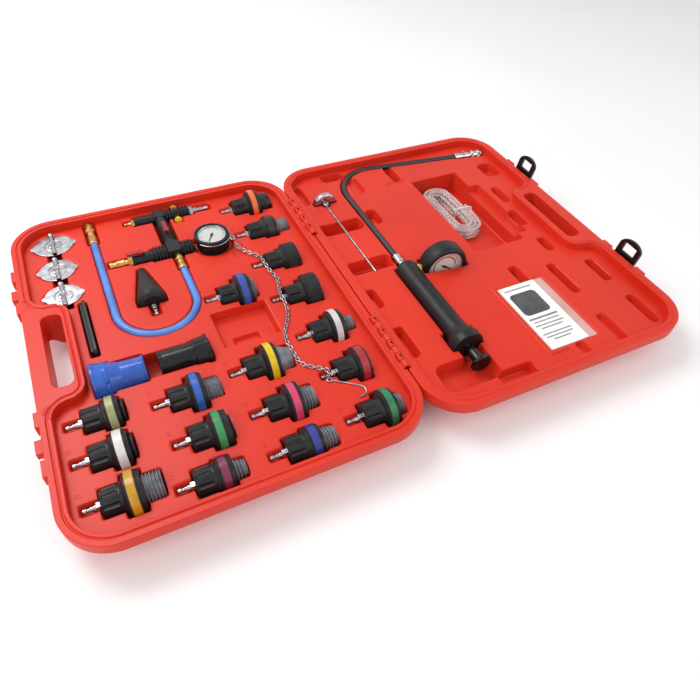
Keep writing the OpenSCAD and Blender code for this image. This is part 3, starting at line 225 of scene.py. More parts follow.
def rings_along(path, radius, sides):
    """Circles square to a path: each ring's first direction is the last one's, with the part along
    the path taken off, so that the rings don't twist."""
    along = np.gradient(path, axis=0)
    along /= np.linalg.norm(along, axis=1, keepdims=True)
    side = np.cross(along[0], (0, 0, 1.0))
    if np.linalg.norm(side) < 0.1:
        side = np.cross(along[0], (0, 1.0, 0))
    first = np.empty_like(path)
    for i, d in enumerate(along):
        side = side - d * (side @ d)
        side /= np.linalg.norm(side)
        first[i] = side
    second = np.cross(along, first)
    a = np.linspace(0, 2 * math.pi, sides, endpoint=False)[None, :, None]
    r = np.broadcast_to(np.asarray(radius, float), (len(path),))[:, None, None]
    return path[:, None] + r * (np.cos(a) * first[:, None] + np.sin(a) * second[:, None])


def tube(name, path, radius, half, material, body, sides=16, **links):
    """A round tube of one radius, or a radius for each point, along a path in a half's mm."""
    return skin(name, half(rings_along(np.asarray(path, float), radius, sides)), material, body, **links)


def spline(points, per=8):
    """A smooth path through points: the cubic through each four neighbours, at per steps a span."""
    p = np.asarray(points, float)
    p = np.vstack([2 * p[0] - p[1], p, 2 * p[-1] - p[-2]])
    s = (np.arange(per) / per)[None, :, None]
    a, b, c, d = (p[k:len(p) - 3 + k, None] for k in range(4))
    body = 0.5 * (2 * b + (c - a) * s + (2 * a - 5 * b + 4 * c - d) * s ** 2 + (3 * b - a - 3 * c + d) * s ** 3)
    return np.vstack([body.reshape(-1, p.shape[1]), p[-2]])


HOSE_R, LOOPS, PER_LOOP, COIL_R, COIL_H = 2.75, 9, 24, 31, 38
PITCH = 2 * HOSE_R + 1.7
WELL_FLOOR = -46
COIL_AT = (269, 113, WELL_FLOOR + HOSE_R + 0.1)
LAYERS = (0, 3, 3.5, 6, 6.5, 9)
turn = np.arange(LOOPS * PER_LOOP + 1) / PER_LOOP
out = np.interp(turn, LAYERS, (0, 3, 3, 0.5, 0.5, 3))
rise = np.interp(turn, LAYERS, (0, 0, 1, 1, 2, 2))
reach = COIL_R - (3 - out) * PITCH
angle = 2 * math.pi * turn
coil = np.stack([reach * np.cos(angle), reach * np.sin(angle) + COIL_H * np.clip(2 * np.sin(angle), -1, 1),
                 rise * PITCH], -1) + COIL_AT
coil = spline(coil, 2)
CLEAR = surface("clear_soft_pvc", "EBDCDA", "FBF6F5", (0.08, 0.16), drift_mm=60, bump=0.05, IOR=1.53,
                Transmission_Weight=0.72, Specular_IOR_Level=0.6)
hose = tube("clear_hose_coil", coil, HOSE_R, lid, CLEAR, "clear_hose", sides=12, node="clear_hose",
            slot="hose_clear")
TIE = [(274.4, 104, -42), (274.3, 104, -28), (275.6, 103.6, -24.6), (279, 103, -23.4), (289, 102, -23.2),
       (299, 101, -23.4), (303, 100.6, -25), (304.4, 100, -28), (304.3, 100, -42)]
tie = tube("hose_tie", spline(TIE, 4), 1.0, lid, surface("white_tie_wire", "E8E4E0", "F6F4F2", (0.3, 0.4)),
           "clear_hose", sides=8, slot="hose_clear")

# ------------ case halves
# Two halves blow-moulded in red polyethylene: a band and sloping walls outside, and inside one
# moulded face whose nests, ribs and pits have the rounded edges that such a moulding always has.
# The moulding has a faint orange peel and a wax-like gloss.
FACE, HALF_W, HALF_L, BAND_R, RIM_W = -12.0, 431, 285, 60, 14
GRIP = (384, 410, -60, 70)
LAND_R, LAND_OUT = 22, 11
SAMPLE, STEP, ROUNDING = 0.5, 1.5, 0.85
GRID_U, GRID_Y, KEPT_PAST, PROBE_Z = (10, 422), (-276, 276.01), 1.7, 15
DEEPEST = -53.4
SHARP_U, SHARP_REACH, SHARP_Y, SHARP_FROM, SHARP_TO = 405, 24, 5, 84, 118
TUB_LEVELS, SLAB_LEVELS = (-28.5, -51.5, 37), (-28.2, -51.3, 36)
CASE = surface("red_blow_moulded_polyethylene", "CC2A17", "D9331F", (0.36, 0.46), drift_mm=180, grain_mm=5,
               bump=0.22, height_mm=0.25, Specular_IOR_Level=0.28)


def in_round_rect(u, y, u0, u1, y0, y1, r):
    """How far points lie outside a rounded rectangle: beyond its straight sides the nearest side
    counts, and beyond its corners the distance from the corner's centre."""
    qu = np.abs(u - (u0 + u1) / 2) - (u1 - u0) / 2 + r
    qy = np.abs(y - (y0 + y1) / 2) - (y1 - y0) / 2 + r
    return np.hypot(np.maximum(qu, 0), np.maximum(qy, 0)) + np.minimum(np.maximum(qu, qy), 0) - r


def outside_face(u, y):
    """How far points lie outside the moulded face: outside the rim's inner line, or within the land
    that carries the handle, whose two inner corners sweep into the rim by fillets."""
    rim = in_round_rect(u, y, 1 + RIM_W, HALF_W - RIM_W, RIM_W - HALF_L, HALF_L - RIM_W, BAND_R - RIM_W)
    y0, y1 = GRIP[2] - LAND_R, GRIP[3] + LAND_R
    land = in_round_rect(u, y, GRIP[0] - LAND_OUT, HALF_W + LAND_R, y0, y1, LAND_R)
    edge = HALF_W - RIM_W
    past = np.where(y > (y0 + y1) / 2, y - y1, y0 - y)
    by_fillet = (u > edge - LAND_R) & (past >= 0) & (past < LAND_R)
    fillet = LAND_R - np.hypot(u - (edge - LAND_R), past - LAND_R)
    land = np.where(by_fillet, np.minimum(land, fillet), land)
    return np.maximum(rim, -land)


def moulded_face(source, name, half):
    """The face of one half with every edge softened. A fine flat grid is projected straight down on
    the CAD half, its heights are spread by a bell curve of ROUNDING mm, and every third one is kept.
    The sheet runs on under the rim, and its border drops to a floor inside the half's tub."""
    u, y = np.meshgrid(np.arange(*GRID_U, SAMPLE), np.arange(*GRID_Y, SAMPLE), indexing="ij")
    probe_mesh = bpy.data.meshes.new("probe")
    probe_mesh.vertices.add(u.size)
    probe_mesh.vertices.foreach_set("co", half(np.stack([u, y, 0 * u + PROBE_Z], -1)).ravel())
    probe = bpy.data.objects.new("probe", probe_mesh)
    scene.collection.objects.link(probe)
    drop = probe.modifiers.new("drop", "SHRINKWRAP")
    drop.target, drop.wrap_method = source, "PROJECT"
    drop.use_project_x = drop.use_project_y = False
    drop.use_project_z = drop.use_negative_direction = True
    drop.use_positive_direction = False
    landed = probe.evaluated_get(bpy.context.evaluated_depsgraph_get()).to_mesh()
    co = np.empty(u.size * 3)
    landed.vertices.foreach_get("co", co)
    bpy.data.objects.remove(probe)
    bpy.data.meshes.remove(probe_mesh)
    z = (co.reshape(-1, 3)[:, 2].reshape(u.shape) - RIM_Z) / MM
    past = outside_face(u, y)
    z = np.where(past < 0, z, FACE)
    taps = np.arange(-5, 6)
    bell = np.exp(-0.5 * (taps * SAMPLE / ROUNDING) ** 2)
    for axis in (0, 1):
        wide = np.pad(z, [(5, 5) if a == axis else (0, 0) for a in (0, 1)], mode="edge")
        z = sum(w * np.take(wide, np.arange(z.shape[axis]) + k + 5, axis=axis)
                for k, w in zip(taps, bell / bell.sum()))
    z = np.where(past < 0, z, np.minimum(z, FACE - 0.3))
    every = int(STEP / SAMPLE)
    u, y, z, past = (v[::every, ::every] for v in (u, y, z, past))
    kept = past < KEPT_PAST
    i, j = np.meshgrid(np.arange(len(u) - 1), np.arange(u.shape[1] - 1), indexing="ij")
    whole = (kept[:-1, :-1] & kept[1:, :-1] & kept[:-1, 1:] & kept[1:, 1:]).ravel()
    w = u.shape[1]
    quads = np.stack([i * w + j, (i + 1) * w + j, (i + 1) * w + j + 1, i * w + j + 1], -1).reshape(-1, 4)[whole]
    used, quads = np.unique(quads, return_inverse=True)
    mesh = bpy.data.meshes.new(name)
    mesh.from_pydata(half(np.stack([u, y, z], -1)).reshape(-1, 3)[used].tolist(), [], quads.reshape(-1, 4).tolist())
    bm = bmesh.new()
    bm.from_mesh(mesh)
    close_down(bm, SLAB_LEVELS, 1 if half is lid else -1)
    bm.to_mesh(mesh)
    bm.free()
    return mesh


def close_down(bm, levels, sign):
    """Carries every cut border down to a knee and on to a floor, and closes it there. On the floor,
    each point past a rounded rectangle is drawn back to its outline, because the outer wall slopes
    in: the point's nearest place on the rectangle's core gives the direction."""
    knee, floor_z, inset = levels
    r = BAND_R - inset
    slit = bm.edges.layers.int.get("cad_slit") or bm.edges.layers.int.new("cad_slit")
    for z in (knee, floor_z):
        border = [e for e in bm.edges if len(e.link_faces) == 1 and not e[slit]]
        made = bmesh.ops.extrude_edge_only(bm, edges=border)["geom"]
        for v in (v for v in made if isinstance(v, bmesh.types.BMVert)):
            v.co.z = RIM_Z + z * MM
            if z == floor_z:
                p = np.array([(v.co.x - HINGE_X) / MM * sign, v.co.y / MM])
                core = np.clip(p, (1 + BAND_R, BAND_R - HALF_L), (HALF_W - BAND_R, HALF_L - BAND_R))
                p = core + (p - core) * min(1, r / max(np.linalg.norm(p - core), 1e-9))
                v.co.x, v.co.y = HINGE_X + p[0] * MM * sign, p[1] * MM
    bmesh.ops.holes_fill(bm, edges=[e for e in bm.edges if len(e.link_faces) == 1 and not e[slit]], sides=0)


def tub(source, name, half):
    """The rest of one half: the CAD half with its face and nests taken out and closed by a deep floor,
    and a weight on each sharp edge that the bevel then rounds, but for those by the land's corners."""
    bm = bmesh.new()
    bm.from_mesh(source.data)
    bmesh.ops.remove_doubles(bm, verts=bm.verts, dist=2e-5)
    slit = bm.edges.layers.int.new("cad_slit")
    for e in bm.edges:
        e[slit] = len(e.link_faces) == 1
    middle = np.array([f.calc_center_median() for f in bm.faces])
    upward = np.array([f.normal.z for f in bm.faces]) > -0.05
    sign = 1 if half is lid else -1
    z = (middle[:, 2] - RIM_Z) / MM
    inner = outside_face((middle[:, 0] - HINGE_X) / MM * sign, middle[:, 1] / MM) < 0.02
    bm.faces.ensure_lookup_table()
    gone = np.nonzero(inner & upward & (z < FACE + 0.01) & (z > DEEPEST))[0]
    bmesh.ops.delete(bm, geom=[bm.faces[i] for i in gone], context="FACES")
    bmesh.ops.delete(bm, geom=[v for v in bm.verts if not v.link_edges], context="VERTS")
    close_down(bm, TUB_LEVELS, sign)
    bmesh.ops.recalc_face_normals(bm, faces=bm.faces)
    weight = bm.edges.layers.float.new("bevel_weight_edge")
    for e in bm.edges:
        m = (e.verts[0].co + e.verts[1].co) / 2
        corner = (abs((m.x - HINGE_X) / MM * sign - SHARP_U) < SHARP_REACH
                  and SHARP_FROM < abs(m.y / MM - SHARP_Y) < SHARP_TO)
        e[weight] = float(e.calc_face_angle(0) > math.radians(32) and not corner)
    mesh = bpy.data.meshes.new(name)
    bm.to_mesh(mesh)
    bm.free()
    return mesh


for node, half in (("tray_shell", tray), ("lid_shell", lid)):
    body = body_of(node)
    word, red = node.split("_")[0], dict(material=CASE, body=body, node=node, slot="case_red")
    finish(moulded_face(frame["nodes"][node], word + "_face", half), word + "_face", **red)
    outer = finish(tub(frame["nodes"][node], word + "_tub", half), word + "_tub", **red)
    bevel = outer.modifiers.new("soft_edges", "BEVEL")
    bevel.width, bevel.segments, bevel.limit_method = 0.8 * MM, 2, "WEIGHT"
    bevel.use_clamp_overlap, bevel.harden_normals = False, False
    outer.modifiers.move(1, 0)

# ------------ latches
# Two gloss black acetal latches stand open on the lid's edge, each a loop that snaps over a red
# keeper and turns on a pin of its own, with two bars across its back for the thumb.
GLOSSY = surface("gloss_black_acetal", "0B0B0C", "131314", (0.16, 0.24), drift_mm=30, bump=0.04,
                 Specular_IOR_Level=0.35)
LATCH_U, LATCH_Z, LATCH_W, LATCH_H, LATCH_T, TOP_R, LEAN = 435.9, -12, 42, 38, 5, 13, math.radians(12)
WINDOW_W, WINDOW_LOW, WINDOW_HIGH = 24, 15.5, 30


def outline_rect(w, h, r, n=6):
    """A rounded rectangle's outline, centred: a quarter circle of radius r about each corner."""
    a = np.linspace(0, math.pi / 2, n + 1)
    a = np.concatenate([a + k * math.pi / 2 for k in range(4)])
    k = np.repeat(np.arange(4), n + 1)
    su, sv = np.array([1, -1, -1, 1])[k], np.array([1, 1, -1, -1])[k]
    return np.stack([su * (w / 2 - r) + r * np.cos(a), sv * (h / 2 - r) + r * np.sin(a)], -1)


def prism(name, outline, levels, place, right, up, half, material, body, **links):
    """An outline carried along its normal: at each level (distance, inset) the outline is drawn in
    by the inset, each point along its own normal."""
    o = np.asarray(outline, float)
    t = np.roll(o, -1, axis=0) - np.roll(o, 1, axis=0)
    n = np.stack([-t[:, 1], t[:, 0]], -1) / np.maximum(np.linalg.norm(t, axis=1, keepdims=True), 1e-9)
    right, up = np.asarray(right, float), np.asarray(up, float)
    out = np.cross(right, up)
    flat = np.stack([o + n * inset for _, inset in levels])
    p = (np.asarray(place, float) + flat[..., :1] * right + flat[..., 1:] * up
         + np.array([d for d, _ in levels])[:, None, None] * out)
    return skin(name, half(p), material, body, **links)


def soft_levels(z0, z1, r, n=3):
    """Levels for a prism from z0 to z1 whose two edges are rounded by r."""
    a = np.linspace(0, math.pi / 2, n + 1)
    low = [(z0 + r - r * math.cos(x), r - r * math.sin(x)) for x in a]
    return low + [(z1 - (d - z0), inset) for d, inset in low[::-1]]


def latch(name, y):
    """A loop round a window, wide at its pivot and round at its top: its section is a flat bar with
    soft edges, carried along the line midway between window and outside."""
    up = np.array([math.sin(LEAN), 0, math.cos(LEAN)])
    out = np.cross(ALONG, up)
    foot = np.array([LATCH_U, y, LATCH_Z])
    side, w, t, h0, h1 = LATCH_W / 2, WINDOW_W / 2, LATCH_T / 2, WINDOW_LOW, WINDOW_HIGH
    a = np.linspace(0, math.pi, 21)
    top = LATCH_H - TOP_R
    ring = np.concatenate([np.stack([side * np.cos(a), top + TOP_R * np.sin(a)], -1),
                           [[-side, top * 0.6], [-side, 1], [-side, -1.5], [0, -1.5], [side, -1.5], [side, 1],
                            [side, top * 0.6]]])
    hole = np.stack([np.clip(ring[:, 0], -w, w), np.clip(ring[:, 1], h0, h1)], -1)
    hole[21:] = [[-w, (h0 + h1) / 2], [-w, h0], [-w, h0], [0, h0], [w, h0], [w, h0], [w, (h0 + h1) / 2]]
    section = [(0.0, -t + 0.9), (0.02, -t), (0.98, -t), (1.0, -t + 0.7), (1.0, t - 0.7), (0.98, t), (0.02, t),
               (0.0, t - 0.9)]
    grid = np.stack([ring + (hole - ring) * k for k, _ in section], 1)
    depth = np.array([d for _, d in section])[None, :, None]
    p = foot + grid[..., :1] * ALONG + grid[..., 1:] * up + depth * out
    black = dict(material=GLOSSY, body=name, node=name, slot="latch_black")
    skin(name + "_loop", lid(np.concatenate([p, p[:1]])), ends=False, **black)
    for k, z in enumerate((31.5, 33.4)):
        prism(f"{name}_grip_{k}", outline_rect(LATCH_W - 12 - 4 * k, 1.5, 0.7), soft_levels(t - 0.3, t + 0.9, 0.4),
              foot + z * up, ALONG, up, lid, **black)
    tube(name + "_pin", [(LATCH_U, y + d, LATCH_Z) for d in (-25.4, 25.4)], 2.15, lid, sides=24, **black)


latch("latch_far", 133)
latch("latch_near", -133)

# ------------ cap adapters
# Seventeen caps that screw on a radiator or tank in place of its own cap. Each is a glass-filled
# nylon grip with eight hollows, a coloured ring or a black knurled one, a grey plug that is often
# threaded or a plain black one, and a chrome nipple for the pump's coupler. All are satin.
ADAPTERS = {
    "04_orange": (64.5, 229, 26.5, 9, 5, 19, 17, 20, "block", "F26A2A"),
    "05_brown": (61, 158, 22.5, 9, 6, 14, 14, 20, "bands", "26161A"),
    "06_black": (61, 78, 24, 18, 1.5, 15, 15, 3, "short", "1C1C1E"),
    "07_black": (61, -3, 26.5, 18, 1.5, 16, 16, 3, "short", "1C1C1E"),
    "08_blue": (148, 33, 28, 10, 6, 19, 17, 7, "ribs", "2F4FA8"),
    "09_white": (56, -85, 26.5, 9, 6, 13, 12, 17, "thread", "DDD9D6"),
    "10_dark_red": (54, -159.5, 27, 10, 3, 17, 17, 3, "short", "A8202C"),
    "11_yellow": (159, -110, 29, 9, 5, 20, 15, 19, "dome", "EBC312"),
    "13_green": (54, -236, 26.5, 9, 4, 16, 14, 12, "thread", "23784C"),
    "14_pink": (156, -182, 27.5, 9, 5, 18, 14, 19, "thread", "DC3F6E"),
    "15_navy": (156, -245.5, 22.5, 9, 5, 15, 12, 19, "thread", "2B3591"),
    "17_blue": (259, -122, 28, 9, 5, 16, 16, 20, "thread", "2C5FBE"),
    "18_green": (251, -186.5, 25.5, 9, 8, 16, 16, 3, "short", "3B9457"),
    "19_maroon": (262, -244, 22, 9, 5, 13, 10, 15, "thread", "7A2148"),
    "20_white": (359, -167.5, 25, 10, 5, 17, 17, 5, "short", "E3E0DC"),
    "21_amber": (358, -227, 27, 9.5, 6, 17.5, 17.5, 21, "thread", "CF9A22"),
    "22_olive": (358, -113, 23, 9, 5, 16, 16, 5, "short", "A4A56E"),
}
KNOB_R, KNOB_L, SHOULDER, NIPPLE_L = 17.0, 23.0, 6.0, 20.0
FIGURE_H, FIGURE_T, FIGURE_U, FIGURE_Y = 8.5, 0.7, 50, 19
NYLON = surface("black_glass_filled_nylon", "151516", "202022", (0.3, 0.42), drift_mm=18, grain_mm=0.8, bump=0.12,
                height_mm=0.06, Specular_IOR_Level=0.3)
PLUG = surface("grey_nylon_plug", "5A5A60", "83838C", (0.26, 0.38), drift_mm=12, grain_mm=0.8, bump=0.1)
CHROME = surface("polished_chrome_plate", "8E9095", "C0C2C6", (0.07, 0.16), 1.0, drift_mm=10, bump=0.03)


def rounded(points, r, steps=3):
    """A profile whose inner corners are turned into small arcs: the curve of second degree from a
    point r before each corner to one r after it."""
    p = np.asarray(points, float)
    a, b, c = p[:-2], p[1:-1], p[2:]
    la, lc = (np.linalg.norm(q - b, axis=1, keepdims=True) + 1e-9 for q in (a, c))
    start = b + (a - b) / la * np.minimum(r, la * 0.45)
    stop = b + (c - b) / lc * np.minimum(r, lc * 0.45)
    s = np.linspace(0, 1, steps + 1)[None, :, None]
    arc = (1 - s) ** 2 * start[:, None] + 2 * s * (1 - s) * b[:, None] + s ** 2 * stop[:, None]
    return np.vstack([p[:1], arc.reshape(-1, 2), p[-1:]])


def turned(name, place, axis, points, half, material, body, n=64, soft=0.4, form=None, **links):
    """A turned piece: (distance, radius) points revolved about an axis through place. form(angle,
    distance, radius) may press hollows or ridges into the radius."""
    profile = rounded(points, soft)
    d = np.asarray(axis, float) / np.linalg.norm(axis)
    e = np.cross(d, (0, 0, 1.0) if abs(d[2]) < 0.9 else (1.0, 0, 0))
    e /= np.linalg.norm(e)
    f = np.cross(d, e)
    a = np.linspace(0, 2 * math.pi, n, endpoint=False)[None, :]
    t, r = profile[:, :1], profile[:, 1:]
    radius = form(a, t, r) if form else np.broadcast_to(r, (len(r), n))
    p = (np.asarray(place, float) + t[..., None] * d
         + radius[..., None] * (np.cos(a)[..., None] * e + np.sin(a)[..., None] * f))
    return skin(name, half(p), material, body, ends=False, **links)


def hollows(count, depth, t0, t1, width, below=0.0):
    """Long round-ended hollows round a grip, each as deep as a bowl: depth times one less the
    squared distance from its middle line."""
    def form(a, t, r):
        k = (a / (2 * math.pi) * count + 0.5) % 1 - 0.5
        across = k * 2 * math.pi / count * r / (width / 2)
        along = np.maximum(0, np.abs(t - (t0 + t1) / 2) - (t1 - t0 - width) / 2) / (width / 2)
        bowl = np.clip(1 - across ** 2 - along ** 2, 0, 1) ** 0.7
        return r - np.where(r > below, depth * bowl, 0)
    return form


def knurl(r0):
    """Two sets of slanting grooves that cross: the radius falls where either wave is at its foot."""
    def form(a, t, r):
        wave = np.sqrt(np.abs(np.sin(a * 26 + t) * np.sin(a * 26 - t)))
        return np.where(r > r0 - 0.25, r - 0.9 * (1 - wave), r + 0 * a)
    return form


def hexagon(t0, t1):
    """Between t0 and t1 the round bar is a hexagon: its flats lie where the cosine brings them."""
    def form(a, t, r):
        flat = math.cos(math.pi / 6) / np.cos(a % (math.pi / 3) - math.pi / 6)
        return np.where((t > t0) & (t < t1), r * flat, r + 0 * a)
    return form


def filled(points, step):
    """The profile with points added so that none lies further than step from the next."""
    out = [points[0]]
    for a, b in zip(points, points[1:]):
        n = max(1, int(math.ceil(math.dist(a, b) / step)))
        out += [(a[0] + (b[0] - a[0]) * k / n, a[1] + (b[1] - a[1]) * k / n) for k in range(1, n + 1)]
    return out


def nipple(name, place, axis, length, body, node, material=CHROME, slot="chrome"):
    """Quick plug: a hexagon, a slim waist and a beaded tip with a bore."""
    turned(name, place, axis,
           [(-1.1, 0), (-1.1, 3), (-0.2, 5.2), (0.1, 5.6), (4.7, 5.6), (5.1, 5.1), (5.1, 3.5), (8, 3.5), (8.8, 2.9),
            (length * 0.6, 2.9), (length * 0.63, 2.1), (length * 0.73, 2.1), (length * 0.77, 2.9),
            (length - 0.9, 2.9), (length, 2.2), (length, 1.1), (length - 3, 1.0), (length - 3, 0)],
           tray, material, body, n=36, soft=0.25, form=hexagon(-1, 5.2), node=node, slot=slot)


def adapter(key, u, y, ring_r, ring_w, flange, p0, p1, plug_l, form, ring_hex):
    """One cap: everything is turned about an axis along u, from the plug to the nipple."""
    node = "adapter_" + key
    place = (u, y, FACE - max(3.0, ring_r - 23.5))
    cap = dict(place=place, axis=ACROSS, half=tray, body=node, node=node)
    black = dict(cap, material=NYLON, slot="adapter_black")
    low, back, end = ring_r - 0.6, ring_w + flange, SHOULDER + KNOB_L
    grip = [(-0.05, 0), (-0.05, low), (1.4, low), (1.9, low - 0.7), (2.1, low - 2.0), (3.0, low - 2.6),
            (4.4, KNOB_R + 2.4), (SHOULDER, KNOB_R + 1), (SHOULDER + 0.8, KNOB_R + 0.2)]
    grip += filled([(SHOULDER + 1.6, KNOB_R), (end - 1.6, KNOB_R - 0.7)], 0.8)
    grip += [(end - 0.5, KNOB_R - 2), (end, KNOB_R - 3.6), (end, 5.9), (end - 1, 5.7), (end - 1, 0)]
    turned("grip_" + key, points=grip, n=112, soft=0.3,
           form=hollows(8, 2.1, SHOULDER + 3, end - 1.5, 5.2, KNOB_R - 1.5), **black)
    ring = [(-ring_w + 0.05, low - 2), (-ring_w + 0.05, ring_r), (-0.05, ring_r), (-0.05, low - 2)]
    if key in ("06_black", "07_black"):
        turned("ring_" + key, points=[(-ring_w + 0.05, 0), *filled(ring[:3], 0.6), (-0.05, low - 2)], n=312,
               soft=0.3, form=knurl(ring_r), **black)
    else:
        shade = "".join("%02X" % int(int(ring_hex[i:i + 2], 16) * 0.86) for i in (0, 2, 4))
        lacquer = surface("nylon_ring_" + key, shade, ring_hex, (0.24, 0.34), drift_mm=16, bump=0.06)
        turned("ring_" + key, points=[*ring, ring[0]], material=lacquer, n=88, soft=0.7, **cap)
    flange_p = [(-ring_w + 0.02, 0), (-ring_w + 0.02, low), (-ring_w - min(1.6, flange * 0.5), low),
                (-ring_w - min(2.2, flange * 0.7), low - 1.1), (-back, low - 1.5), (-back, 0)]
    turned("flange_" + key, points=flange_p, n=72, **black)
    plug = [(-back + 1, 0), (-back + 1, p0 - 1.4), (-back - 0.5, p0 - 1.4)]
    if form in ("thread", "bands"):
        turns = max(3, int(plug_l / 4.0))
        pitch = (plug_l - 2) / turns
        for k in range(turns):
            s = back + 0.8 + k * pitch
            r = p0 + (p1 - p0) * k / turns
            plug += [(-s, r - 2.2), (-s - pitch * 0.2, r), (-s - pitch * 0.5, r), (-s - pitch * 0.7, r - 2.2)]
    elif form == "dome":
        plug += [(-back - 1, p0), (-back - plug_l * 0.45, p0 - 1.4), (-back - plug_l * 0.8, p1 + 0.6)]
    elif form == "ribs":
        plug += [(-back - 1, p0), (-back - 2.4, p0), (-back - 2.9, p0 - 1.6), (-back - 4, p0 - 1.6),
                 (-back - 4.4, p0 - 0.4)]
    else:
        plug += [(-back - plug_l * 0.55, p0 - 0.1)]
    e = back + plug_l
    plug += [(-e + 1, p1 - 0.1), (-e, p1 - 1.1), (-e, p1 * 0.62), (-e + 1.6, p1 * 0.58), (-e + 1.6, 0)]
    black["material"] = NYLON if form in ("block", "short") else PLUG
    turned("plug_" + key, points=plug, soft=0.35, **black)
    nipple("nipple_" + key, (u + end, y, place[2]), ACROSS, NIPPLE_L, node, node)


def numeral(name, text, place):
    """Raised figures: the plain numbers that are moulded beside the nests. They read with the tray
    turned about, so a drawn point's first two measures change places and all three change sign."""
    curve = bpy.data.curves.new(name, "FONT")
    curve.body, curve.size, curve.extrude, curve.resolution_u = text, FIGURE_H, FIGURE_T / 2, 3
    curve.align_x = curve.align_y = "CENTER"
    holder = bpy.data.objects.new(name + "_text", curve)
    scene.collection.objects.link(holder)
    bpy.context.view_layer.update()
    drawn = holder.to_mesh()
    co = np.empty(len(drawn.vertices) * 3)
    drawn.vertices.foreach_get("co", co)
    faces = [list(p.vertices) for p in drawn.polygons]
    holder.to_mesh_clear()
    bpy.data.objects.remove(holder)
    mesh = bpy.data.meshes.new(name)
    mesh.from_pydata(tray(np.asarray(place, float) - co.reshape(-1, 3)[:, [1, 0, 2]]).tolist(), [], faces)
    finish(mesh, name, CASE, "tray", slot="case_red", flat=True)


for key, facts in ADAPTERS.items():
    adapter(key, *facts)
    numeral("numeral_" + key, key[:2].lstrip("0"), (facts[0] + FIGURE_U, facts[1] + FIGURE_Y, FACE))

# ------------ cap plates
# Three pressed steel covers, oval with an ear at each end, each with a riveted post, a swaged
# ring, a soldered test tube and a rubber seal below. Bright tin plate, faintly wavy, mirrors the
# room as pale streaks.
TIN = surface("bright_tin_plate", "A2A3A8", "CDCED2", (0.14, 0.26), 1.0, drift_mm=14, grain_mm=6, bump=0.12,
              height_mm=0.25)
SEAL = surface("black_seal_rubber", "141414", "1D1D1D", (0.5, 0.6), drift_mm=10, bump=0.1)


def eared_outline(half_l, half_w, ear=4.6, n=44):
    """A cover's outline: an oval that ends short of the tips, and a narrow ear that runs on to them
    with a round end. The two half-widths are blended by the fourth root of their fourth powers' sum."""
    x = half_l * np.cos(np.linspace(0, math.pi, n + 1))
    oval = half_w * np.sqrt(np.clip(1 - (x / (0.86 * half_l)) ** 2, 0, 1))
    past = np.maximum(np.abs(x) - half_l + ear, 0) / ear
    tip = ear * np.sqrt(np.clip(1 - past ** 2, 0, 1))
    w = (oval ** 4 + tip ** 4) ** 0.25
    return np.vstack([np.stack([x, w], -1), np.stack([-x, -w], -1)[1:-1]])


for k, (u, y, half_l, half_w) in enumerate(((374.5, 236, 33, 24.5), (376.5, 175, 29, 23), (376, 117, 29, 22))):
    node = f"cap_plate_{k + 1:02d}"
    steel = dict(half=tray, body=node, node=node, slot="plate_steel")
    prism(f"lens_{k}", eared_outline(half_l, half_w), soft_levels(-13.2, -11.6, 0.5), (u, y, 0), ACROSS, ALONG,
          material=TIN, **steel)
    turned(f"swage_{k}", (u, y, -11.7), UP, [(0, 10.6), (1.1, 11.2), (1.3, 12), (1.1, 12.8), (0, 13.4), (0, 10.6)],
           material=TIN, **steel)
    turned(f"post_{k}", (u, y, -11.7), UP, [(0, 0), (0, 7.4), (0.9, 6.6), (1.2, 4.4), (6.2, 4), (7, 3.2), (7, 0)],
           material=TIN, **steel)
    turned(f"tube_{k}", (u, y - 27, -7.6), ALONG,
           [(0, 0), (0, 2.6), (0.6, 3.2), (43, 3.2), (46, 4.3), (48, 4.1), (48, 1.9), (44, 1.6), (44, 0)],
           material=CHROME, n=32, **steel)
    turned(f"seal_{k}", (u, y, -28.3), UP, [(0, 0), (0, 16.5), (1.5, 18), (15.1, 18), (15.1, 0)], material=SEAL,
           **steel)

# ------------ vacuum refill gun
# A pistol-less vacuum gun: two valve bodies and a leg moulded in ribbed black rubber over brass,
# with a gauge at one end, red lacquered levers, a yellow shuttle valve and turned brass tails.
RUBBER = surface("ribbed_black_rubber", "121213", "1C1C1D", (0.34, 0.48), drift_mm=20, grain_mm=0.9, bump=0.15,
                 height_mm=0.06, Specular_IOR_Level=0.28)
BRASS = surface("turned_brass", "B08343", "DDB672", (0.16, 0.3), 1.0, drift_mm=7, grain_mm=0.5, bump=0.08)
GUN_Z, UPPER_Y, LOWER_Y, LEG_U = -15, 252, 158, 210
rubber = dict(half=tray, material=RUBBER, body="gun", node="gun_body", slot="gun_black")
brass = dict(half=tray, body="gun", n=48, node="gun_fittings", slot="brass")


def ribs(t0, t1, low, high, pitch=5.0, width=2.5):
    """Square ribs along a turned bar: up, along and down once at each pitch."""
    starts = np.arange(t0, t1 - width + 0.01, pitch)
    return [(a + d, r) for a in starts for d, r in ((0, low), (0, high), (width, high), (width, low))]


def paint(nodes, material):
    """A CAD node whose shape is right stays, and takes this finish."""
    for name in nodes:
        data = frame["nodes"][name].data
        data.materials.clear()
        data.materials.append(material)

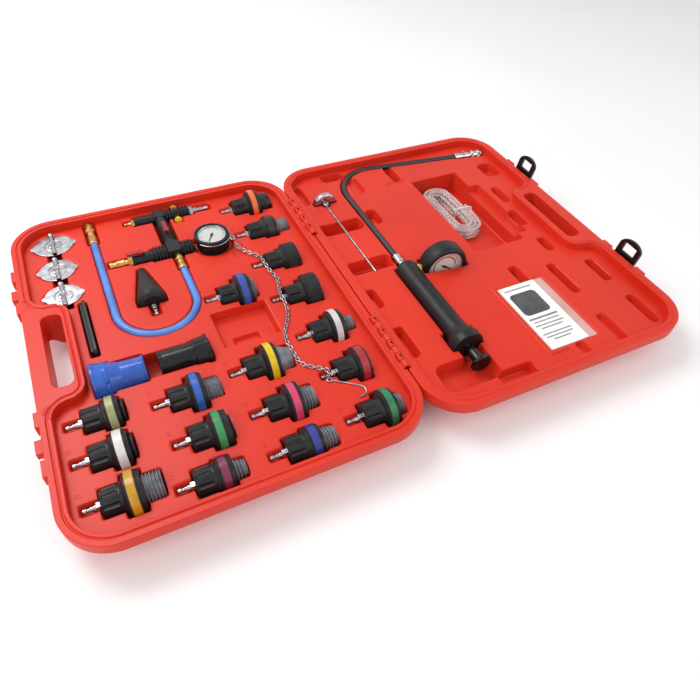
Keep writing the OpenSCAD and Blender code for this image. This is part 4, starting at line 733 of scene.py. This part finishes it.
turned("gun_upper", (162, UPPER_Y, GUN_Z), ACROSS,
       [(0, 0), (0, 8.5), *ribs(1, 43, 8.5, 11.9), *ribs(54, 88, 8.5, 9), (88, 8.5), (88, 0)], **rubber)
turned("gun_lower", (182, LOWER_Y, GUN_Z), ACROSS,
       [(0, 0), (0, 9.5), *ribs(2, 15, 9.5, 14.4), *ribs(35, 58, 9.5, 14.4), *ribs(60, 80, 9.5, 10.5), (90, 9.5),
        (90, 0)], **rubber)
turned("gun_leg", (LEG_U, LOWER_Y, GUN_Z), ALONG,
       [(0, 0), (0, 9.5), *ribs(24.7, 59, 9.5, 10.5), (94, 9.5), (94, 0)], **rubber)
turned("gun_link", (177.4, LOWER_Y, GUN_Z), ACROSS, [(0, 0), (0, 5), (5, 5), (5, 0)], **rubber)
for word, y, w, h in (("upper", UPPER_Y, 16, 20), ("lower", LOWER_Y, 20, 26)):
    prism(f"gun_block_{word}", outline_rect(w, h, 2), soft_levels(-h / 2, h / 2, 1.4), (LEG_U, y, GUN_Z), ACROSS,
          ALONG, **rubber)
turned("gun_swivel", (161.6, UPPER_Y, GUN_Z), (-1, 0, 0),
       [(-0.3, 0), (-0.3, 7.2), (0.3, 8), (5.8, 8), (6.2, 5.5), (12, 5.5), (12.8, 3.8), (21.6, 3.8), (22.2, 2.8),
        (26, 2.8), (27, 3.8), (32, 3.4), (32, 1.4), (29, 1.2), (29, 0)],
       material=CHROME, form=hexagon(-1, 6.3), **brass)
nipple("gun_tail_upper", (250.2, UPPER_Y, GUN_Z), ACROSS, 16, "gun", "gun_fittings", BRASS, "brass")
turned("gun_tail_lower", (271.8, LOWER_Y, GUN_Z), ACROSS,
       [(0, 0), (0, 6.8), (0.6, 7.5), (6.6, 7.5), (7, 5), (12, 5), (12.3, 6.5), (24, 6.5), (24.4, 5), (30, 5),
        (30.3, 6), (34, 6), (34, 3), (30, 2.8), (30, 0)],
       material=BRASS, form=hexagon(0.2, 6.8), **brass)
turned("gun_ferrule", (207, 112, GUN_Z), ALONG,
       [(12.2, 0), (12.2, 5.7), (0, 5.7), (0, 6.9), (0.8, 7.5), (7.6, 7.5), (8.4, 6.9), (22.6, 6.9), (23.6, 7.5),
        (33.2, 7.5), (33.2, 0)],
       material=BRASS, **brass)
turned("hose_tail", (318, 218, GUN_Z), ALONG,
       [(14, 0), (14, 5.7), (0, 5.7), (0, 6.6), (0.8, 7.2), (18, 7.2), (18.4, 6.4), (32, 6.4), (32.2, 7.4), (33, 8),
        (48.6, 8), (50, 7.2), (50, 4.6), (40, 4.4), (40, 0)],
       material=BRASS, **brass)
paint(["valve_lever_upper", "valve_lever_lower"],
      surface("red_lacquered_lever", "8A1411", "B01F18", (0.2, 0.32), drift_mm=14, bump=0.05))
turned("shuttle", (183, UPPER_Y, GUN_Z), ALONG,
       [(-21, 0), (-21, 3.2), (-20.2, 4), (-19.2, 4.2), (-19, 6), (-18.4, 6.5), (-16.4, 6.5), (-16, 6), (-15, 3.5),
        (15.4, 3.5), (15.9, 6.1), (16.3, 6.5), (17.4, 6.4), (18, 4.6), (18.4, 3.6), (18.4, 0)], tray,
       surface("yellow_acetal_shuttle", "DDBA18", "F0D433", (0.26, 0.38), drift_mm=9, bump=0.05), "shuttle_valve",
       n=40, node="shuttle_valve", slot="brass")

# ------------ refill hose
# Ten-millimetre class hose of blue polyurethane, held all the way in its nest: two legs and a
# half turn. Satin, with one soft highlight along its top.
BLUE = surface("blue_polyurethane_hose", "3F6DBA", "5F90DC", (0.26, 0.38), drift_mm=30, grain_mm=1.5, bump=0.1)
LEG_L, LEG_R, BEND_Y, REFILL_R = 318, 207, 51, 5.5
around = np.linspace(math.pi, 2 * math.pi, 41)
centre_u, bend_r = (LEG_L + LEG_R) / 2, (LEG_L - LEG_R) / 2
bend = np.stack([centre_u - bend_r * np.cos(around), BEND_Y + bend_r * np.sin(around), 0 * around + GUN_Z], -1)
legs = [np.stack([0 * s + u, s, 0 * s + GUN_Z], -1) for u, s in
        ((LEG_L, np.linspace(231.6, BEND_Y + 4, 30)), (LEG_R, np.linspace(BEND_Y + 4, 123.6, 14)))]
tube("refill_hose_skin", np.vstack([legs[0], bend, legs[1]]), REFILL_R, tray, BLUE, "gun", sides=28,
     node="refill_hose", slot="hose_blue")

# ------------ vacuum gauge with its guard and chain
# A dial gauge in a thick black boot, chrome bezel and printed card inside. A sprung wire guard goes
# round it, and a bright chain runs from the guard to a wire hook between the adapters.
CARD = surface("printed_dial_card", "DAD9D4", "E8E7E3", (0.3, 0.4), drift_mm=40, bump=0.02)
INK = surface("matt_black_ink", "0E0E0E", "181818", (0.45, 0.55), drift_mm=12, bump=0.02)
PLATED = surface("zinc_plated_steel_wire", "85878C", "B5B7BC", (0.14, 0.26), 1.0, drift_mm=8, bump=0.05)
VAC, BOOT_FOOT, VAC_DIAL, INK_T = (150, 154), -20, 2.82, 0.12


def own(node, slot):
    """What is passed on for a piece that stands for one CAD node: the node's body, the node, and a slot name."""
    return dict(body=body_of(node), node=node, slot=slot)


def marks(name, centre, right, up, rows, half, material, body):
    """Printed marks as thin bars on a dial: each row is an angle in degrees anticlockwise from right,
    the two radii it runs between, and its width."""
    rows = np.asarray(rows, float)
    a = np.radians(rows[:, 0])
    right, up = np.asarray(right, float), np.asarray(up, float)
    out = np.cross(right, up)
    ray = np.cos(a)[:, None] * right + np.sin(a)[:, None] * up
    side = np.cross(out, ray)
    corners = np.array([(r, w, h) for h in (0, 1) for r, w in ((0, -1), (1, -1), (1, 1), (0, 1))], float)
    reach = rows[:, 1:2] + (rows[:, 2:3] - rows[:, 1:2]) * corners[:, 0]
    p = (np.asarray(centre, float) + reach[..., None] * ray[:, None]
         + (rows[:, 3:4] / 2 * corners[:, 1])[..., None] * side[:, None] + INK_T * corners[:, 2:3] * out)
    box = np.array([(3, 2, 1, 0), (4, 5, 6, 7), (0, 1, 5, 4), (1, 2, 6, 5), (2, 3, 7, 6), (3, 0, 4, 7)])
    faces = (np.arange(len(rows))[:, None, None] * 8 + box).reshape(-1, 4)
    mesh = bpy.data.meshes.new(name)
    mesh.from_pydata(half(p.reshape(-1, 3)).tolist(), [], faces.tolist())
    return finish(mesh, name, material, body, flat=True)


def scale_rows(a0, a1, small, every, r0, r1, r_small, width):
    """Rows for a scale from a0 to a1: a long mark at each so many, short ones between."""
    k = np.arange(small + 1)
    long = k % every == 0
    return np.stack([a0 + (a1 - a0) * k / small, np.where(long, r0, r_small), 0 * k + r1,
                     np.where(long, width, width * 0.6)], -1)


turned("vacuum_boot", (*VAC, BOOT_FOOT), UP,
       [(0, 0), (0, 20.5), (1.2, 22), (4, 25), (17.4, 25), (18.4, 25.4), (20, 27), (25, 27), (26.6, 26.2), (27, 25),
        (27, 23), (22, 22), (21.9, 0)],
       tray, RUBBER, n=96, soft=0.8, **own("vacuum_gauge_case", "gauge_black"))
turned("vacuum_bezel", (*VAC, BOOT_FOOT), UP,
       [(22.85, 20.2), (24.5, 20.8), (25.2, 21.6), (24.6, 22.1), (22.85, 21.6), (22.85, 20.2)],
       tray, CHROME, body_of("vacuum_gauge_case"), n=96, soft=0.3)
paint(["pump_gauge_dial"], CARD)
paint(["vacuum_gauge_dial"], surface("grey_dial_card", "BDBDBA", "CCCCC9", (0.3, 0.4), drift_mm=40, bump=0.02))
paint(["vacuum_gauge_needle", "pump_gauge_needle"], INK)
marks("vacuum_scale", (*VAC, VAC_DIAL), ACROSS, ALONG, scale_rows(225, -45, 30, 5, 15.5, 19.2, 17.2, 0.5), tray,
      INK, body_of("vacuum_gauge_dial"))
paint(["wire_guard", "chain", "chain_hook"], PLATED)

# ------------ cone adapter, wrench and sleeves
# A black rubber cone on a chrome nipple seals odd necks. The strap wrench is a flat black nylon
# bar. Two flanged sleeves, one in blue lacquer and one black, step down from wide to narrow.
CONE_AT, WRENCH_U, STRAP_U = (266, 54, -15), 355.8, 359.6
SLEEVE_Y, SLEEVE_Z, FLANGE_R = -57, -17, 17
turned("cone_skin", CONE_AT, ALONG,
       [(0, 0), (0, 15.5), (1, 16.8), (3.4, 20), (4.6, 20.5), (6, 20.5), (6.4, 19.9), (7, 19.9), (7.4, 20.5),
        (11.6, 20.5), (13, 20), (75, 5.7), (79, 4.7), (80, 4), (80, 2), (76, 1.8), (76, 0)],
       tray, RUBBER, "cone", n=72, node="cone_adapter", slot="rubber_black")
nipple("cone_plug", CONE_AT, (0, -1, 0), 22, "cone", "cone_nipple")
WRENCH = [(90, -6), (90, -19), (84, -31), (60, -32), (6, -32), (-10, -31), (-14, -24), (-13, -10), (-8, -6)]
STRAP = [(85, -9.4), (85, -30), (60, -31), (0, -31), (-9, -28), (-9, -9.4)]
wrench = dict(right=ALONG, up=UP, half=tray, body="strap_wrench", node="strap_wrench", slot="rubber_black")
prism("wrench_bar", rounded([*WRENCH, WRENCH[0]], 3)[:-1], soft_levels(-4.4, 0.0, 0.7), (WRENCH_U, 0, 0),
      material=NYLON, **wrench)
prism("wrench_strap", rounded([*STRAP, STRAP[0]], 2)[:-1], soft_levels(-3.6, 0.0, 0.6), (STRAP_U, 0, 0),
      material=RUBBER, **wrench)


def lugs(count, t0, t1, height, share):
    """Small lugs round a flange: past the radius FLANGE_R the surface stands out by height over a
    share of each pitch."""
    def form(a, t, r):
        k = (a / (2 * math.pi) * count) % 1
        return np.where((t > t0) & (t < t1) & (r > FLANGE_R) & (k >= share), r - height, r)
    return form


turned("blue_sleeve_skin", (302, SLEEVE_Y, SLEEVE_Z), ACROSS,
       [(64, 23), (44, 16.2), (0, 15), (0, 18.4), (0.6, 19.2), (2.6, 19.5), (3.1, 18), (30, 19), (44, 23), (46, 25.2),
        (49, 25.5), (49.3, 24), (60, 26), (60.3, 26.8), (63.6, 27), (64, 26.4), (64, 23)], tray,
       surface("blue_lacquered_sleeve", "1F4FA8", "2F68C8", (0.14, 0.24), drift_mm=22, bump=0.06), "blue_sleeve",
       n=96, form=lugs(12, 45.5, 49.4, 0.9, 0.6), node="blue_sleeve", slot="sleeve_blue")
turned("black_sleeve_skin", (219, SLEEVE_Y, SLEEVE_Z), ACROSS,
       [(66, 13), (20.4, 13), (20, 17), (0, 17), (0, 22.8), (0.8, 23.5), (3.6, 23.4), (4.1, 21), (19.8, 21),
        (20.4, 18.2), (61.6, 17), (62, 17.8), (65.4, 18), (66, 17.4), (66, 13)], tray, GLOSSY, "black_sleeve", n=96,
       form=lugs(12, -0.1, 4.0, 0.9, 0.6), node="black_sleeve", slot="rubber_black")

# ------------ hand pump
# A small test pump: a black ribbed grip over a chrome barrel, a plunger with a black knob, and a
# chrome head that carries the gauge stub and the hose tail. The case's hinge pins are as bright.
PUMP = (103, -14)


def pump(y):
    """A point on the pump's axis, y mm along the hinge."""
    return PUMP[0], y, PUMP[1]


turned("grip", pump(-178), ALONG,
       [(-12, 0), (-12, 22.8), (-10.8, 24), (-1, 24), (3, 23), (13, 18.7), (18, 17.8), (30, 17),
        *ribs(34, 122, 16.7, 17, 5.5, 3.4), (126, 17), (126.4, 17.6), (162.4, 17.6), (165.4, 16), (166, 14), (166, 0)],
       lid, RUBBER, n=80, **own("pump_grip", "rubber_black"))
paint(["pump_barrel", "plunger_rod", "release_button", "hinge_pins"], CHROME)
turned("head", pump(-12.95), ALONG,
       [(-0.1, 0), (-0.1, 7.6), (0.5, 8.5), (7.5, 8.5), (8, 6), (13, 6), (13.6, 7.2), (14.4, 7.6), (18.6, 7.6),
        (19.6, 7), (29.6, 7), (30, 6.6), (30, 0)],
       lid, CHROME, n=48, form=hexagon(0.2, 7.8), **own("pump_head", "chrome"))
turned("knob", pump(-192), ALONG,
       [(-32, 0), (-32, 12.6), (-31.2, 13.8), (-30, 15), (-28.8, 15.5), (-27.6, 15.4), (-26.6, 14.4), (-24.4, 8.4),
        (-22, 8), (-2, 7), (0, 6.6), (0, 0)],
       lid, GLOSSY, **own("plunger_knob", "gloss_black"))

# ------------ pump gauge
# A 63 mm pressure gauge in a stepped rubber boot, on edge in its pit and turned to the user. Its
# card has a red arc for the working range, a short green one, and black marks.
TURN = math.radians(-6)
RIGHT = np.array([math.cos(TURN), math.sin(TURN), 0])
AWAY = np.array([-math.sin(TURN), math.cos(TURN), 0])
GAUGE = np.array([164, -24, -14.0])
turned("gauge_boot", GAUGE, AWAY,
       [(11.5, 0), (11.5, 31.6), (-12.9, 31.6), (-12.9, 29.6), (-15, 29.6), (-15, 32.6), (-14.4, 33.6), (-13.4, 34.6),
        (-12.6, 34.6), (-12.2, 35.4), (-8.4, 36.4), (-3, 36.5), (11, 35.6), (13, 34.6), (15, 32.4), (15, 0)],
       lid, RUBBER, n=120, soft=0.6, **own("pump_gauge_boot", "rubber_black"))
gauge_case = own("pump_gauge_case", "chrome")
turned("gauge_bezel", GAUGE, AWAY,
       [(10.9, 0), (10.9, 31.4), (-12.8, 31.4), (-12.8, 29.4), (-11.6, 28.2), (-8.0, 28.4), (-7.0, 28.3), (-7.0, 0)],
       lid, CHROME, n=96, soft=0.3, **gauge_case)
turned("gauge_stub", GAUGE, -RIGHT,
       [(33, 0), (33, 4.5), (37, 4.5), (37.2, 6.4), (43.4, 6.4), (43.8, 4.5), (46, 4.5), (46, 0)],
       lid, BRASS, n=48, form=hexagon(37.1, 43.6), **gauge_case)
SCALE_OUT, ARC_OUT, ARC_R0, ARC_R1 = 7.87, 0.05, 17.0, 19.0
SCALE_AT = GAUGE - AWAY * SCALE_OUT
dial = body_of("pump_gauge_dial")
marks("gauge_scale", SCALE_AT, RIGHT, UP, scale_rows(225, -45, 35, 5, 19.5, 24.6, 22.2, 0.6), lid, INK, dial)
for word, ends, count, width, dark, light in (("red", (215, 30), 75, 0.8, "B3261C", "C93327"),
                                              ("green", (26, 6), 12, 0.62, "2C8A4B", "379A57")):
    rows = [(a, ARC_R0, ARC_R1, width) for a in np.linspace(*ends, count)]
    marks(f"gauge_{word}_arc", SCALE_AT - AWAY * ARC_OUT, RIGHT, UP, rows, lid,
          surface(word + "_dial_ink", dark, light, (0.35, 0.45), drift_mm=20, bump=0.02), dial)

# ------------ test hose and quick coupler
# Black rubber hose held in its nest, from the pump head round one bend to a chrome quick coupler
# whose knurled sleeve slides back to let a nipple go.
BEND_AT, BEND_R, BEND_TO, STRAIGHT, TEST_R = 194, 68, math.radians(97), 176, 5.0
END = np.array([math.cos(math.radians(-7)), math.sin(math.radians(-7)), 0])
HOSE = surface("black_rubber_hose", "131314", "1D1D1E", (0.3, 0.42), drift_mm=30, grain_mm=1.2, bump=0.12)
a = math.pi - np.linspace(0, BEND_TO, 40)
arc = np.stack([PUMP[0] + BEND_R + BEND_R * np.cos(a), BEND_AT + BEND_R * np.sin(a), 0 * a + PUMP[1]], -1)
start = np.array([pump(y) for y in np.linspace(17.2, 189, 30)])
run = arc[-1] + END * np.linspace(6, STRAIGHT, 24)[:, None]
tube("test_hose_skin", np.vstack([start, arc, run]), TEST_R, lid, HOSE, sides=28, **own("test_hose", "hose_black"))
coupler = arc[-1] + END * STRAIGHT
on_coupler = own("coupler_body", "chrome")
turned("coupler", coupler, END,
       [(0, 0), (0, 6.6), (0.8, 7.4), (9.4, 7.4), (10, 6.2), (20, 6.2), (20.4, 7), (29, 7), (29.4, 5.5), (53.6, 5.5),
        (54.2, 6.4), (57.4, 6.2), (58, 5.4), (58, 3), (40, 2.9), (40, 0)],
       lid, CHROME, n=56, **on_coupler)
prism("coupler_block", outline_rect(8, 8, 1), soft_levels(0, 7.3, 0.7), coupler + END * 18, END,
      np.cross((0, 0, 1.0), END), lid, CHROME, **on_coupler)


def fluting(count, depth, r0):
    """Fine straight grooves: above the radius r0 the surface dips by depth, count times round."""
    def form(a, t, r):
        return np.where(r > r0, r - depth * (0.5 - 0.5 * np.cos(a * count)), r + 0 * a)
    return form


turned("coupler_ring", coupler + END * 34, END,
       [(0, 5.6), (0, 7.2), (1, 8), (4, 8), (4.4, 7.3), (12.6, 7.3), (13, 8), (18, 8), (19, 7.3), (19, 5.6), (0, 5.6)],
       lid, CHROME, n=160, form=fluting(40, 0.35, 7.6), **own("coupler_sleeve", "chrome"))

# ------------ thermometer
# A pocket thermometer stands in a slot with its back to the camera: a stainless dish with a hub
# and a long thin stem that lies along the case.
THERM, HUB = (58, 190, -14.5), 4.5
turned("thermometer_dish", THERM, ALONG,
       [(-9.5, 0), (-9.5, 4.4), (-8.9, 5), (-4.7, 6), (-4.5, 17.2), (-3.6, 19), (-2.4, 19.8), (-1, 20), (3.8, 20),
        (4.5, 19.4), (4.4, 18.6), (2.1, 18.4), (2.05, 0)],
       lid, CHROME, n=88, **own("thermometer_case", "chrome"))
turned("thermometer_rod", (THERM[0], THERM[1] - HUB, THERM[2]), ALONG,
       [(-189, 0), (-186.4, 1.5), (-185, 1.6), (-19.4, 1.6), (-19, 2), (-5.1, 2), (-5.1, 0)],
       lid, CHROME, n=24, **own("thermometer_stem", "chrome"))
paint(["thermometer_needle"], surface("red_pointer_paint", "A51D18", "B92620", (0.3, 0.4), drift_mm=8, bump=0.03))

# ------------ printed guide
# A white card with a grey picture and lines of print, in a clear vinyl pouch that is larger than
# the card. The pouch's pink colour is painted in: it stands for the case's red seen through the
# clear vinyl. Two moulded lips hold it. The print is left as plain bars.
PAPER = surface("white_card", "EFEEEB", "F8F7F5", (0.4, 0.55), drift_mm=50, bump=0.02)
PRINT = surface("grey_print", "77787B", "8B8C8F", (0.45, 0.55), drift_mm=20, bump=0.02)
PICTURE = surface("dark_grey_print", "3B3C40", "505156", (0.35, 0.45), drift_mm=16, bump=0.02)
# The pouch's pink is the red case seen through it, painted into its colour; the vinyl itself is clear.
POUCH = surface("clear_vinyl_pouch_painted_case_red", "E9B9B0", "F3D2CB", (0.12, 0.22), drift_mm=60, grain_mm=14, bump=0.2,
                height_mm=0.4, Alpha=0.55)
CARD_TOP, LINES_U = -12.8, 238
guide = dict(right=ACROSS, up=ALONG, half=lid, body="guide", node="guide_pouch", slot="paper_pouch")
prism("card", outline_rect(66, 130, 1.5), soft_levels(-1.3, 1.0, 0.3), (240.5, -176, -13.8), material=PAPER, **guide)
prism("pouch", outline_rect(83, 131, 2), soft_levels(-0.5, 0.3, 0.3), (248, -176, -14.7), material=POUCH, **guide)
prism("picture", outline_rect(46, 46, 7), [(0, 0), (0.15, 0)], (237, -152, CARD_TOP), material=PICTURE, **guide)
LINES = [(-134, 40, 4.5), (-120, 48, 2.2), (-183, 50, 3.4), (-190, 44, 2), (-197, 50, 2), (-203, 38, 2), (-214, 50, 2),
         (-220, 46, 2), (-226, 30, 2)]
for k, (y, width, high) in enumerate(LINES):
    prism(f"print_line_{k}", outline_rect(width, high, 0.9), [(0, 0), (0.12, 0)], (LINES_U, y, CARD_TOP),
          material=PRINT, **guide)
